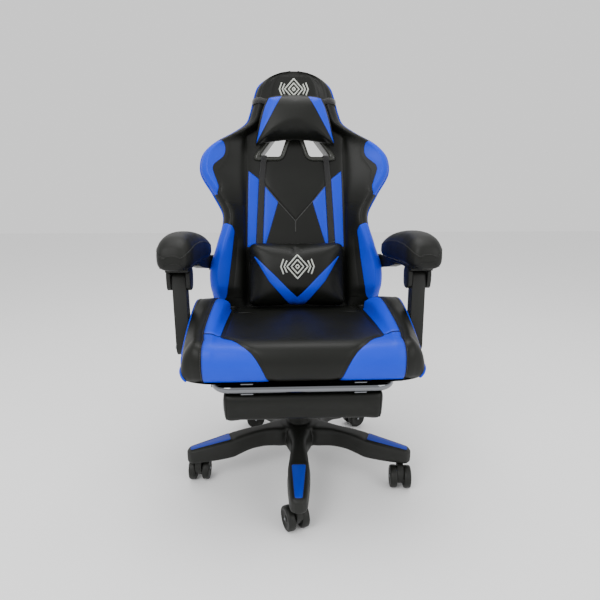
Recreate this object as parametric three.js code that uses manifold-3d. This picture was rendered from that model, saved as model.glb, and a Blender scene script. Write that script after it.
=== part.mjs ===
// A racing-style gaming chair on a five-star base, with a retractable footrest and linked armrests.
// Millimetres, +Z up. The sitter faces -Y. The swivel axis is x = 0, y = 0 until the last lines move
// the origin to the floor under the middle of the chair's box.
import * as THREE from "three";
import { mergeVertices } from "three/addons/utils/BufferGeometryUtils.js";
import Module from "manifold-3d";

const wasm = await Module();
wasm.setup();

// ---- Driving sizes ----

// Gaps
const touch = 0.4; // between faces that touch
const runFit = 0.6; // radial, round a turning pin
const slideFit = 0.6; // radial, round a sliding rod
const softGap = 1.2; // between a cushion and its neighbours

// Star base and castors
const armCount = 5;
const baseReach = 322; // swivel axis to arm tip
const castorCircle = 293; // swivel axis to castor stem
const baseTurn = -2.7; // degrees the base is turned under the seat at rest
const hubRadius = 60;
const hubBottom = 81;
const hubTop = 141;
const armKnee = 200; // where the arm's top turns down towards the castor
const armKneeTop = 123;
const armKneeBottom = 69;
const armTipTop = 103;
const armTipBottom = 66;
const armNeckWidth = 44;
const armWideWidth = 59;
const armTipWidth = 44;
const insertStart = 203; // blue plate on the arm, from the swivel axis
const insertEnd = 312;
const insertWide = 36;
const insertNarrow = 18;
const insertThick = 3;
const wheelDiameter = 60; // across the facets
const wheelFacets = 20;
const wheelWidth = 20;
const wheelSpread = 8.5; // middle of the castor to a wheel's inner face
const castorTrail = 20;
const castorAxle = 4; // radius
const stemRadius = 5.5;
const stemLength = 27;
const castorTurns = [25, 175, -57, -77, 1]; // degrees, where each castor trails

// Gas lift and its covers
const liftTube = 25; // outer radius of the standing tube
const liftTubeTop = 272;
const liftTubeBottom = 72;
const liftStroke = 80;
const innerTube = 14; // radius of the moving tube
const rodRadius = 5;
const coverWall = 2.4;
const coverGap = 0.7;
const coverLength = 90;

// Tilt mechanism
const housingBottom = 290;
const housingHeight = 53;
const housingHalfWidth = 80;
const housingFront = -95;
const housingRear = 62;
const housingWall = 3;
const tiltPivot = [40, 325]; // y, z
const tiltAxle = 6; // radius
const plateThick = 6;
const plateRise = 3; // over the housing
const knobPlace = -68; // y
const knobRadius = 22;
const knobHeight = 27;
const springLength = 41;
const boltRadius = 5;

// Seat
const channelHeight = 16;
const panThick = 6;
const seatHalfWidth = 283; // at its widest
const seatFront = -290;
const seatRear = 150;
const seatThick = 89; // cushion bottom to the top of the front roll
const seatDish = 17; // how far the rear lies below the front roll
const cushionHalfWidth = 188;
const bolsterRise = 43; // crest over the front roll
const bolsterRear = 95;

// Recline hinge, backrest and armrest linkage
const hinge = [185, 400]; // y, z
const backTilt = 13; // degrees from vertical at rest
const backHeight = 775; // along the back from the hinge
const shoulderHalfWidth = 288;
const backBottom = 14;
const panelFront = 20; // panel face before the hinge plane
const backRear = 36; // rear face behind the hinge plane
const wingCrest = 84;
const linkRear = [30, 175]; // y, z from the hinge to the armrest's rear pivot
const linkFrontY = -60; // y of the armrest's front pivot
const linkFrontX = 308;
const strutLean = 8; // how far the strut's foot stands further in
const hingePlateInner = 242; // x of the backrest's side plates
const hingePlateThick = 6;
const strutWidth = 34;
const strutDepth = 38;
const forkWidth = 59;
const armPin = 6; // radius
const forkGap = 2.6; // strut to cheek, for its lean as it turns
const padHalfWidth = 45;
const padTop = 692;

// Harness holes, pillows and straps, along the back from the hinge
const holeBottom = backHeight - 269;
const holeTop = backHeight - 190;
const pillowLow = holeBottom + 20; // lower tips of the head pillow
const headPillowHeight = 156;
const headPillowHalfLow = 127;
const headPillowHalfTop = 87;
const headPillowThick = 62;
const lumbarBottom = 50;
const lumbarTop = 226;
const lumbarHalfWidth = 148;
const lumbarThick = 74;
const strapWidth = 28;
const webbingWidth = 18;
const webbingThick = 2;

// Footrest
const tubeRadius = 11;
const footrestHalfWidth = 215;
const crossbar = [-260, 355]; // y, z
const railLength = 330; // straight rail behind the crossbar
const footPadHalfWidth = 190;
const footPadThick = 67;
const footPadDepth = 156;

// Derived heights
const wheelRadius = wheelDiameter / 2;
const housingTop = housingBottom + housingHeight;
const plateBottom = housingTop + plateRise;
const plateTop = plateBottom + plateThick;
const panBottom = plateTop + touch + channelHeight;
const panTop = panBottom + panThick;
const cushionBottom = panTop + softGap;
const seatTop = cushionBottom + seatThick;
const linkLower = [linkFrontY - linkRear[0], hinge[1]]; // y, z of the strut's foot
const linkUpper = [linkFrontY, hinge[1] + linkRear[1]];
const strutFootX = linkFrontX - strutLean;
const bracketOuter = strutFootX - strutWidth / 2 - 1 - touch;
const bracketThick = 5.5;
const reclinerInner = hingePlateInner + hingePlateThick + touch;
const reclinerThick = 14;
const drumRadius = 40;
const uprightInner = reclinerInner + reclinerThick + touch;
const uprightThick = 5.5;
const armrestUnder = linkUpper[1] + strutDepth / 2 + 2; // underside of the armrest frame over the drum
const armrestPlateThick = 6.5;
const padUnder = armrestUnder + armrestPlateThick + touch;

// ---- Materials ----

function paint(color, roughness, metalness = 0) {
  return new THREE.MeshStandardMaterial({ color, roughness, metalness });
}
const blackNylon = paint(0x1a1b16, 0.5);
const blueNylon = paint(0x0035ac, 0.45);
const blackSteel = paint(0x1c1c1c, 0.45, 0.6);
const chrome = paint(0xd8d8d8, 0.12, 1);
const springSteel = paint(0x6f7276, 0.35, 1);
const blackLeather = paint(0x202020, 0.5);
const blueLeather = paint(0x2966db, 0.45);
const padFoam = paint(0x17180f, 0.6);
const greyTrim = paint(0x2a2b26, 0.35);
const webbing = paint(0x161616, 0.85);

// ---- Shape helpers ----

const degrees = (a) => (a * Math.PI) / 180;

function mesh(name, geometry, material) {
  const made = new THREE.Mesh(geometry, material);
  made.name = name;
  return made;
}

function toSolid(geometry) {
  const bare = new THREE.BufferGeometry();
  bare.setAttribute("position", geometry.getAttribute("position").clone());
  if (geometry.index) bare.setIndex(geometry.index);
  const merged = mergeVertices(bare, 1e-4);
  return new wasm.Manifold(
    new wasm.Mesh({
      numProp: 3,
      vertProperties: new Float32Array(merged.attributes.position.array),
      triVerts: new Uint32Array(merged.index.array),
    }),
  );
}

function toGeometry(solid) {
  const m = solid.getMesh();
  const positions = new Float32Array(m.numVert * 3);
  for (let i = 0; i < m.numVert; i += 1) {
    positions.set(m.vertProperties.subarray(i * m.numProp, i * m.numProp + 3), i * 3);
  }
  const geometry = new THREE.BufferGeometry();
  geometry.setAttribute("position", new THREE.BufferAttribute(positions, 3));
  geometry.setIndex(new THREE.BufferAttribute(new Uint32Array(m.triVerts), 1));
  return geometry;
}

function join(...geometries) {
  return toGeometry(geometries.map(toSolid).reduce((a, b) => a.add(b)));
}

function cut(geometry, ...tools) {
  return toGeometry(tools.map(toSolid).reduce((a, b) => a.subtract(b), toSolid(geometry)));
}

// A box between two corners.
function block(x0, x1, y0, y1, z0, z1) {
  const box = new THREE.BoxGeometry(x1 - x0, y1 - y0, z1 - z0);
  return box.translate((x0 + x1) / 2, (y0 + y1) / 2, (z0 + z1) / 2);
}

// A cylinder along X, Y or Z between two places on that axis; a and b are the other two coordinates.
function round(axis, radius, from, to, a, b, sides = 20) {
  const bar = new THREE.CylinderGeometry(radius, radius, to - from, sides);
  const middle = (from + to) / 2;
  if (axis === "x") return bar.rotateZ(-Math.PI / 2).translate(middle, a, b);
  if (axis === "y") return bar.translate(a, middle, b);
  return bar.rotateX(Math.PI / 2).translate(a, b, middle);
}

// A turned body on the Z axis from [radius, z] pairs that close on themselves or start and end at 0.
function turned(profile, sides) {
  const points = profile.map(([r, z]) => new THREE.Vector2(r, z));
  return facingOut(new THREE.LatheGeometry(points, sides).rotateX(Math.PI / 2));
}

// A turned sleeve: outer and inner outlines are [radius, z] pairs from the bottom up.
function sleeve(outer, inner, sides) {
  const ring = [...outer, ...[...inner].reverse(), outer[0]];
  return turned(ring, sides);
}

function facingOut(geometry) {
  const indexed = geometry.index ? geometry : mergeVertices(geometry);
  const p = indexed.getAttribute("position");
  const index = indexed.index.array;
  const corner = [new THREE.Vector3(), new THREE.Vector3(), new THREE.Vector3()];
  let volume = 0;
  for (let i = 0; i < index.length; i += 3) {
    corner.forEach((c, k) => c.fromBufferAttribute(p, index[i + k]));
    volume += corner[0].dot(corner[1].clone().cross(corner[2]));
  }
  if (volume < 0) {
    for (let i = 0; i < index.length; i += 3) {
      [index[i + 1], index[i + 2]] = [index[i + 2], index[i + 1]];
    }
  }
  return indexed;
}

// A closed skin through rings of points, all with the same count, capped at both ends.
function loft(rings) {
  const count = rings[0].length;
  const positions = [];
  const index = [];
  rings.forEach((ring) => ring.forEach((p) => positions.push(p.x, p.y, p.z)));
  for (let r = 0; r + 1 < rings.length; r += 1) {
    for (let k = 0; k < count; k += 1) {
      const next = (k + 1) % count;
      const a = r * count + k;
      const b = r * count + next;
      index.push(a, b, b + count, a, b + count, a + count);
    }
  }
  [0, rings.length - 1].forEach((r) => {
    const middle = new THREE.Vector3();
    rings[r].forEach((p) => middle.add(p));
    middle.divideScalar(count);
    const tip = positions.length / 3;
    positions.push(middle.x, middle.y, middle.z);
    for (let k = 0; k < count; k += 1) {
      const a = r * count + k;
      const b = r * count + ((k + 1) % count);
      if (r === 0) index.push(b, a, tip);
      else index.push(a, b, tip);
    }
  });
  const geometry = new THREE.BufferGeometry();
  geometry.setAttribute("position", new THREE.Float32BufferAttribute(positions, 3));
  geometry.setIndex(index);
  return facingOut(geometry);
}

// An outline of [a, b] corners, each rounded by its own third value or by the given radius.
function outline(corners, radius = 0) {
  const shape = new THREE.Shape();
  const at = (i) => new THREE.Vector2(...corners[(i + corners.length) % corners.length].slice(0, 2));
  corners.forEach((c, i) => {
    const here = at(i);
    const before = at(i - 1).sub(here);
    const after = at(i + 1).sub(here);
    const r = Math.min(c[2] ?? radius, before.length() * 0.45, after.length() * 0.45);
    const from = here.clone().add(before.setLength(r));
    const to = here.clone().add(after.setLength(r));
    if (i === 0) shape.moveTo(from.x, from.y);
    else shape.lineTo(from.x, from.y);
    if (r > 0) shape.quadraticCurveTo(here.x, here.y, to.x, to.y);
  });
  shape.closePath();
  return shape;
}

// An outline in X and Y raised from z0 to z1.
function raised(shape, z0, z1, curveSegments = 3) {
  const made = new THREE.ExtrudeGeometry(shape, { depth: z1 - z0, bevelEnabled: false, curveSegments });
  return made.translate(0, 0, z0);
}

// An outline in Y and Z carried from x0 to x1.
function carried(shape, x0, x1, curveSegments = 3) {
  const made = new THREE.ExtrudeGeometry(shape, { depth: x1 - x0, bevelEnabled: false, curveSegments });
  return made.rotateX(Math.PI / 2).rotateZ(Math.PI / 2).translate(x0, 0, 0);
}

// An outline in X and Z carried from y0 to y1.
function faced(shape, y0, y1, curveSegments = 3) {
  const made = new THREE.ExtrudeGeometry(shape, { depth: y1 - y0, bevelEnabled: false, curveSegments });
  return made.rotateX(Math.PI / 2).translate(0, y1, 0);
}

// A flat band of the given thickness along [a, b] points, as an outline.
function band(points, thickness) {
  const path = points.map(([a, b]) => new THREE.Vector2(a, b));
  const side = (sign) =>
    path.map((p, i) => {
      const before = path[Math.max(i - 1, 0)];
      const after = path[Math.min(i + 1, path.length - 1)];
      const along = after.clone().sub(before).normalize();
      return [p.x - (sign * along.y * thickness) / 2, p.y + (sign * along.x * thickness) / 2];
    });
  return outline([...side(1), ...side(-1).reverse()]);
}

// Each edge of a convex outline moved outwards, its corners in anticlockwise order.
function grown(corners, distance) {
  const edges = corners.map((c, i) => {
    const d = corners[(i + 1) % corners.length];
    const length = Math.hypot(d[0] - c[0], d[1] - c[1]);
    const normal = [(d[1] - c[1]) / length, (c[0] - d[0]) / length];
    return { normal, offset: normal[0] * c[0] + normal[1] * c[1] + distance };
  });
  return corners.map((c, i) => {
    const e = edges[(i + edges.length - 1) % edges.length];
    const f = edges[i];
    const det = e.normal[0] * f.normal[1] - e.normal[1] * f.normal[0];
    const x = (e.offset * f.normal[1] - f.offset * e.normal[1]) / det;
    const y = (e.normal[0] * f.offset - f.normal[0] * e.offset) / det;
    return [x, y];
  });
}

// A smooth value read off [place, value] keys.
function smooth(keys, place) {
  if (place <= keys[0][0]) return keys[0][1];
  const last = keys.length - 1;
  if (place >= keys[last][0]) return keys[last][1];
  const i = keys.findIndex((k) => k[0] > place) - 1;
  const slope = (k) => {
    if (k === 0 || k === last) return 0;
    return (keys[k + 1][1] - keys[k - 1][1]) / (keys[k + 1][0] - keys[k - 1][0]);
  };
  const span = keys[i + 1][0] - keys[i][0];
  const u = (place - keys[i][0]) / span;
  const rise = keys[i + 1][1] - keys[i][1];
  const ease = u * u * (3 - 2 * u);
  const leave = u * (1 - u) * (1 - u) * span * slope(i);
  const arrive = u * u * (u - 1) * span * slope(i + 1);
  return keys[i][1] + rise * ease + leave + arrive;
}

// Both sides of the chair: +1 is the sitter's left, at +X.
const sides = [
  ["left", 1],
  ["right", -1],
];

function mirrored(geometry, sign) {
  return sign > 0 ? geometry : facingOut(geometry.scale(-1, 1, 1));
}

// ---- Star base ----

function armTopAt(reach) {
  if (reach > armKnee) {
    return armKneeTop + ((armTipTop - armKneeTop) * (reach - armKnee)) / (baseReach - armKnee);
  }
  return smooth([[hubRadius, hubTop - 1], [armKnee * 0.72, hubTop - 7], [armKnee, armKneeTop]], reach);
}

function armBottomAt(reach) {
  return smooth([[armKnee * 0.7, hubBottom], [armKnee, armKneeBottom], [baseReach, armTipBottom]], reach);
}

// One arm along +X: rounded box sections, widest two thirds of the way out.
function starArm() {
  const inner = hubRadius * 0.6;
  const neck = (hubRadius + armKnee) * 0.44;
  const widthKeys = [
    [inner, armNeckWidth + 16],
    [neck, armNeckWidth],
    [armKnee + 12, armWideWidth],
    [baseReach - 12, armTipWidth],
    [baseReach, armTipWidth * 0.62],
  ];
  const stations = [inner, hubRadius + 14, neck, armKnee * 0.8, armKnee, armKnee + 14, baseReach - 12, baseReach];
  return loft(
    stations.map((reach) => {
      const half = smooth(widthKeys, reach) / 2;
      const top = armTopAt(reach) - (reach === baseReach ? 6 : 0);
      const bottom = armBottomAt(reach);
      const edge = 6;
      return [
        [half - edge, top], [half, top - edge], [half, bottom + edge], [half - edge, bottom],
        [edge - half, bottom], [-half, bottom + edge], [-half, top - edge], [edge - half, top],
      ].map(([y, z]) => new THREE.Vector3(reach, y, z));
    }),
  );
}

// The tapered plate let into the arm's top; grow widens it into its pocket.
function insertPlate(grow) {
  const slope = Math.atan2(armTopAt(insertEnd) - armTopAt(insertStart), insertEnd - insertStart);
  const length = (insertEnd - insertStart) / Math.cos(slope);
  const shape = outline(
    [
      [-grow, -insertWide / 2 - grow],
      [length + grow, -insertNarrow / 2 - grow],
      [length + grow, insertNarrow / 2 + grow],
      [-grow, insertWide / 2 + grow],
    ],
    5,
  );
  const plate = raised(shape, -insertThick - grow, grow > 0 ? 10 : 0.6, 1);
  return plate.rotateY(-slope).translate(insertStart, 0, armTopAt(insertStart));
}

function starBase() {
  const hub = turned(
    [[0, hubBottom], [hubRadius - 5, hubBottom], [hubRadius, hubBottom + 6], [hubRadius - 4, hubTop], [0, hubTop]],
    40,
  );
  const arms = [];
  const cuts = [round("z", liftTube + touch, hubBottom - 10, hubTop + 10, 0, 0, 32)];
  for (let i = 0; i < armCount; i += 1) {
    const turn = armAngle(i);
    arms.push(starArm().rotateZ(turn));
    cuts.push(insertPlate(touch).rotateZ(turn));
    const socketTop = armTipBottom + stemLength + 3;
    cuts.push(round("z", stemRadius + runFit, 0, socketTop, castorCircle, 0, 10).rotateZ(turn));
  }
  return cut(join(hub, ...arms), ...cuts);
}

function armAngle(i) {
  return degrees(-90 + (360 / armCount) * i);
}

// ---- Castors ----

// Wheel on the X axis, its inner face at x = 0 and a facet turned down.
function castorWheel() {
  const r = wheelRadius / Math.cos(Math.PI / wheelFacets);
  const bore = castorAxle + runFit;
  const blind = wheelWidth - 3.5;
  const profile = [[bore, 0], [r, 0], [r, wheelWidth - 5], [r - 5, wheelWidth], [0, wheelWidth], [0, blind],
    [bore, blind], [bore, 0]];
  const wheel = turned(profile, wheelFacets).rotateZ(Math.PI / wheelFacets);
  return wheel.rotateY(Math.PI / 2);
}

// The body between the wheels with its stem and axle pressed in; the stem stands on the Z axis.
function castorHood() {
  const top = armTipBottom - touch;
  const r = wheelRadius;
  const side = outline(
    [
      [-10, top], [-10, r + 8], [castorTrail - 15, r - 14], [castorTrail + 10, r - 17], [castorTrail + 23, r - 4],
      [castorTrail + 20, r + 18], [castorTrail - 4, top],
    ],
    9,
  );
  const body = carried(side, -wheelSpread + touch, wheelSpread - touch, 2);
  const stem = round("z", stemRadius, top - 10, armTipBottom + stemLength, 0, 0, 10);
  const reach = wheelSpread + wheelWidth - 4;
  const axle = round("x", castorAxle, -reach, reach, castorTrail, r, 10);
  return join(body, stem, axle);
}

function castor(i) {
  const group = new THREE.Group();
  const number = i + 1;
  group.position.set(castorCircle * Math.cos(armAngle(i)), castorCircle * Math.sin(armAngle(i)), 0);
  group.rotation.z = degrees(castorTurns[i]);
  group.add(mesh(`castor_${number}_hood`, castorHood(), blackNylon));
  const left = mesh(`castor_${number}_wheel_left`, castorWheel(), blackNylon);
  left.position.set(wheelSpread, castorTrail, wheelRadius);
  const right = mesh(`castor_${number}_wheel_right`, mirrored(castorWheel(), -1), blackNylon);
  right.position.set(-wheelSpread, castorTrail, wheelRadius);
  group.add(left, right);
  return group;
}

// ---- Gas lift ----

function liftOuterTube() {
  const capTop = liftTubeBottom + 6;
  const bushBottom = liftTubeTop - 60;
  return sleeve(
    [[rodRadius + 1, liftTubeBottom], [liftTube, liftTubeBottom], [liftTube, liftTubeTop]],
    [[rodRadius + 1, capTop], [liftTube - 4, capTop], [liftTube - 4, bushBottom], [innerTube + slideFit, bushBottom],
      [innerTube + slideFit, liftTubeTop]],
    24,
  );
}

const rodFlangeBottom = liftTubeBottom + 6 + touch;
const innerTubeBottom = rodFlangeBottom + 8;
const pistonBottom = innerTubeBottom + 12 + liftStroke + 5;

function pistonRod() {
  return turned(
    [
      [0, liftTubeBottom - 5], [8, liftTubeBottom - 5], [8, liftTubeBottom - touch],
      [rodRadius, liftTubeBottom - touch], [rodRadius, rodFlangeBottom], [12, rodFlangeBottom],
      [12, rodFlangeBottom + 5], [rodRadius, rodFlangeBottom + 5], [rodRadius, pistonBottom],
      [innerTube - 3.2, pistonBottom], [innerTube - 3.2, pistonBottom + 8], [0, pistonBottom + 8],
    ],
    20,
  );
}

function liftInnerTube() {
  const top = housingTop - 16;
  const bore = innerTube - 2.6;
  return turned(
    [
      [rodRadius + slideFit, innerTubeBottom], [innerTube, innerTubeBottom], [innerTube, top - 2],
      [innerTube - 2, top], [4, top], [4, top + 2], [0, top + 2], [0, top - 12], [bore, top - 12],
      [bore, innerTubeBottom + 10], [rodRadius + slideFit, innerTubeBottom + 10],
      [rodRadius + slideFit, innerTubeBottom],
    ],
    24,
  );
}

// Three telescoping covers, the widest standing on the hub.
function liftCover(layer, bottom, top) {
  const outer = liftTube + 11 - layer * (coverWall + coverGap);
  return sleeve([[outer, bottom], [outer, top]], [[outer - coverWall, bottom], [outer - coverWall, top]], 24);
}

const coverLow = hubTop + touch;

// ---- Tilt mechanism ----

function mechanismHousing() {
  const w = housingHalfWidth;
  const body = block(-w, w, housingFront, housingRear, housingBottom, housingTop);
  const hollow = block(
    housingWall - w, w - housingWall, housingFront + housingWall, housingRear - housingWall,
    housingBottom + housingWall, housingTop + 5,
  );
  const socket = round("z", innerTube + 6, housingBottom + 1, housingTop - 14, 0, 0, 24);
  const bore = round("z", innerTube + touch, housingBottom - 5, housingTop, 0, 0, 24);
  const slotSide = outline([[-8, knobPlace - 22], [8, knobPlace - 22], [8, knobPlace + 9], [-8, knobPlace + 9]], 7);
  const boltSlot = raised(slotSide, housingBottom - 5, housingBottom + 10, 3);
  const leverSlot = block(-w - 5, 5 - w, -10, 10, housingTop - 16, housingTop + 5);
  const tiltRoom = block(-w - 1, w + 1, tiltPivot[0] - 12, housingRear + 5, housingTop - 10, housingTop + 5);
  const axle = round("x", tiltAxle, -w - 10, w + 10, tiltPivot[0], tiltPivot[1], 16);
  return join(cut(join(cut(body, hollow), socket), bore, boltSlot, leverSlot, tiltRoom), axle);
}

function mechanismPlate() {
  const half = housingHalfWidth + 16;
  const top = block(-half, half, housingFront - 5, 112, plateBottom, plateTop);
  const boltHole = round("z", boltRadius + runFit, plateBottom - 5, plateTop + 5, 0, knobPlace, 16);
  const flangeInner = housingHalfWidth + 2;
  const [y, z] = tiltPivot;
  const flangeSide = outline([[y - 24, plateBottom + 2], [y - 14, z - 14], [y + 14, z - 14], [y + 24, plateBottom + 2]], 6);
  const hole = round("x", tiltAxle + runFit, -half, half, y, z, 16);
  const flanges = [
    carried(flangeSide, flangeInner, flangeInner + 4),
    carried(flangeSide, -flangeInner - 4, -flangeInner),
  ];
  return cut(join(top, ...flanges), boltHole, hole);
}

function tensionKnob() {
  const top = housingBottom - springLength;
  const grip = new THREE.Shape();
  const lobes = 8;
  for (let i = 0; i <= lobes * 4; i += 1) {
    const a = (i / (lobes * 4)) * 2 * Math.PI;
    const r = knobRadius - 1.5 + 1.5 * Math.cos(lobes * a);
    if (i === 0) grip.moveTo(r, 0);
    else grip.lineTo(r * Math.cos(a), r * Math.sin(a));
  }
  const knob = raised(grip, top - knobHeight, top).translate(0, knobPlace, 0);
  const bolt = round("z", boltRadius, top - 5, plateTop + 5, 0, knobPlace, 14);
  const head = round("z", boltRadius + 5, plateTop + touch, plateTop + 8, 0, knobPlace, 6);
  return join(knob, bolt, head);
}

// The coil's envelope: a ribbed sleeve round the tension bolt.
function tensionSpring() {
  const top = housingBottom - touch;
  const bottom = housingBottom - springLength + touch;
  const coils = 5;
  const outer = [];
  for (let i = 0; i <= coils * 2; i += 1) {
    outer.push([i % 2 ? 16 : 13.5, bottom + ((top - bottom) * i) / (coils * 2)]);
  }
  return sleeve(outer, [[boltRadius + 2, bottom], [boltRadius + 2, top]], 12).translate(0, knobPlace, 0);
}

// Bent rod from over the gas lift's button out under the seat, flattened into a paddle.
function liftLever() {
  const high = housingTop - 0.8;
  const path = new THREE.CatmullRomCurve3(
    [[2, 0, high - 3], [-60, 0, high - 3], [-82, 0, high - 6], [-120, -2, high - 18], [-180, -4, high - 24]].map(
      (p) => new THREE.Vector3(...p),
    ),
  );
  const section = new THREE.Shape();
  section.absarc(0, 0, 3, 0, 2 * Math.PI, false);
  const rod = new THREE.ExtrudeGeometry(section, { steps: 14, curveSegments: 4, extrudePath: path });
  const grip = outline([[-250, -20], [-250, 10], [-170, 6], [-170, -14]], 9);
  return join(rod, raised(grip, high - 30, high - 19, 3));
}

// ---- Seat ----

function seatFrame() {
  const panHalf = cushionHalfWidth + 47;
  const pan = raised(
    outline([[-panHalf, seatFront + 45], [panHalf, seatFront + 45], [panHalf, seatRear + 10], [-panHalf, seatRear + 10]], 18),
    panBottom, panTop, 2,
  );
  const window = (x0, x1, y0, y1) => raised(outline([[x0, y0], [x1, y0], [x1, y1], [x0, y1]], 12), panBottom - 5, panTop + 5, 2);
  const windows = [window(-50, 50, -185, -100), window(-50, 50, -40, 80), window(100, 170, -60, 130), window(-170, -100, -60, 130)];
  const pieces = [];
  sides.forEach(([, sign]) => {
    const rail = block(62, 88, housingFront, 108, plateTop + touch, panBottom + 1);
    const [footY, footZ] = linkLower;
    const armBar = block(panHalf - 10, bracketOuter, footY - 20, footY + 20, panBottom, panTop);
    const armSide = outline(
      [[footY - 20, panBottom], [footY + 20, panBottom], [footY + 16, footZ + 18], [footY - 16, footZ + 18]], 8,
    );
    const armPlate = carried(armSide, bracketOuter - bracketThick, bracketOuter);
    const stud = round("x", armPin, bracketOuter - 1, strutFootX + strutWidth / 2 + 3, footY, footZ, 14);
    const [hingeY, hingeZ] = hinge;
    const rearBar = block(panHalf - 30, uprightInner + uprightThick, seatRear - 25, hingeY + 22, panBottom, panTop);
    const upright = carried(
      outline([[hingeY - 30, panBottom], [hingeY + 22, panBottom], [hingeY + 26, hingeZ + 26], [hingeY - 26, hingeZ + 26]], 14),
      uprightInner, uprightInner + uprightThick,
    );
    const drumRoom = round("x", drumRadius + 1, hingePlateInner - 2, uprightInner - 0.1, hingeY, hingeZ, 24);
    const foot = [rail, armBar, armPlate, stud, cut(join(rearBar, upright), drumRoom)];
    pieces.push(...foot.map((g) => mirrored(g, sign)));
  });
  return join(cut(pan, ...windows), ...pieces);
}

function seatTopAt(y) {
  return seatTop - seatDish * smooth([[seatFront + 40, 0], [seatRear, 1]], y);
}

function seatCushion() {
  const roll = seatTop - seatThick * 0.38;
  const side = new THREE.Shape();
  side.moveTo(seatRear, cushionBottom);
  side.lineTo(seatRear, seatTopAt(seatRear) - 8);
  side.quadraticCurveTo(seatRear, seatTopAt(seatRear), seatRear - 12, seatTopAt(seatRear));
  side.lineTo(-60, seatTopAt(-60));
  side.lineTo(seatFront + 50, seatTop);
  side.quadraticCurveTo(seatFront, seatTop, seatFront, roll);
  side.quadraticCurveTo(seatFront, cushionBottom + 14, seatFront + 22, cushionBottom);
  side.closePath();
  const half = cushionHalfWidth - touch;
  return carried(side, -half, half, 5);
}

function seatHalfWidthAt(y) {
  const w = seatHalfWidth;
  return smooth([[seatFront + 6, w - 45], [seatFront + 25, w - 17], [seatFront + 60, w - 4], [seatFront + 110, w],
    [linkLower[0], w - 4], [0, w - 9], [bolsterRear, w - 14]], y);
}

function seatBolster() {
  const stations = [seatFront + 6, seatFront + 25, seatFront + 60, seatFront + 110, linkLower[0], -40, 10, bolsterRear - 20,
    bolsterRear];
  return loft(
    stations.map((y) => {
      const w = seatHalfWidthAt(y);
      const crest = seatTop + bolsterRise * smooth([[seatFront + 6, -1.45], [seatFront + 25, -0.5], [seatFront + 60, 0],
        [seatFront + 110, 0.25], [linkLower[0], 0.72], [-15, 1], [bolsterRear - 35, 0.72], [bolsterRear, 0.42]], y);
      const piping = seatTop + smooth([[seatFront + 6, -83], [seatFront + 60, -52], [seatFront + 110, -22],
        [linkLower[0], 17], [-15, 37], [bolsterRear, 12]], y);
      const top = Math.min(seatTopAt(y), crest);
      const low = cushionBottom;
      const edge = Math.max(piping, low + 6);
      return [
        [cushionHalfWidth + touch, low], [w - 20, low], [w - 7, (low + edge) / 2], [w, edge],
        [w - 7, Math.max(edge + (crest - edge) * 0.55, edge + 1)], [w - 26, Math.max(crest - 3, edge + 2)],
        [w - 46, Math.max(crest, edge + 3)], [Math.max(w - 68, cushionHalfWidth + 4), crest - 4], [cushionHalfWidth + touch, top - 2],
      ].map(([x, z]) => new THREE.Vector3(x, y, z));
    }),
  );
}

// ---- Footrest ----

// The U tube: two rails running back under the seat from the crossbar.
function footrestFrame() {
  const [y, z] = crossbar;
  const half = footrestHalfWidth - tubeRadius;
  const bend = 40;
  const at = (x, yy) => new THREE.Vector3(x, yy, z);
  const corner = [];
  const steps = 5;
  for (let i = 0; i <= steps; i += 1) {
    const a = (i / steps) * (Math.PI / 2);
    corner.push(at(half - bend + bend * Math.cos(a), y + bend - bend * Math.sin(a)));
  }
  const points = [at(half, y + railLength), ...corner];
  const others = points.map((p) => new THREE.Vector3(-p.x, p.y, p.z)).reverse();
  return sweep([...points, ...others], tubeRadius, 14);
}

// A round bar through flat points, with a ring of corners at each point.
function sweep(points, radius, count) {
  return loft(
    points.map((p, i) => {
      const before = points[Math.max(i - 1, 0)];
      const after = points[Math.min(i + 1, points.length - 1)];
      const along = after.clone().sub(before).normalize();
      const across = new THREE.Vector3(0, 0, 1).cross(along).normalize();
      const ring = [];
      for (let k = 0; k < count; k += 1) {
        const a = (k / count) * 2 * Math.PI;
        const up = new THREE.Vector3(0, 0, radius * Math.sin(a));
        ring.push(p.clone().addScaledVector(across, radius * Math.cos(a)).add(up));
      }
      return ring;
    }),
  );
}

function footrestGuide() {
  const [y, z] = crossbar;
  const middle = footrestHalfWidth - tubeRadius;
  const body = block(middle - 13.5, middle + 13.5, y + 44, y + 150, z - tubeRadius - 2.5, panBottom - touch);
  return cut(body, round("y", tubeRadius + slideFit, y, y + 200, middle, z, 20));
}

const footPadTop = crossbar[1] - tubeRadius - 4;

function footrestPad() {
  const [y] = crossbar;
  const front = y - 2;
  const side = outline(
    [
      [front, footPadTop - footPadThick], [front + footPadDepth, footPadTop - footPadThick],
      [front + footPadDepth, footPadTop], [front, footPadTop],
    ],
    16,
  );
  return carried(side, -footPadHalfWidth, footPadHalfWidth, 4);
}

// Two saddles on one strip, hooked round the crossbar and screwed to the pad.
function footrestHinge() {
  const [y, z] = crossbar;
  const strip = block(-150, 150, y + 14, y + 42, footPadTop + touch, footPadTop + 3.4);
  const rings = [-130, 130].map((x) => {
    const ring = round("x", tubeRadius + 3.2, x - 14, x + 14, y, z, 18);
    const foot = block(x - 14, x + 14, y + 2, y + 30, footPadTop + touch, footPadTop + 3.4);
    const below = block(x - 20, x + 20, y - 30, y + 30, z - 30, footPadTop + touch);
    const ahead = block(x - 20, x + 20, y - 30, y - 4, z - 30, z + 30);
    return join(cut(ring, below, ahead), foot);
  });
  return cut(join(strip, ...rings), round("x", tubeRadius + slideFit, -200, 200, y, z, 20));
}

// ---- Recline hinge ----

function recliner() {
  const [y, z] = hinge;
  const drum = round("x", drumRadius, reclinerInner, reclinerInner + reclinerThick, y, z, 28);
  const pin = round("x", 8, hingePlateInner - 1, reclinerInner + 1, y, z, 16);
  return join(drum, pin);
}

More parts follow.
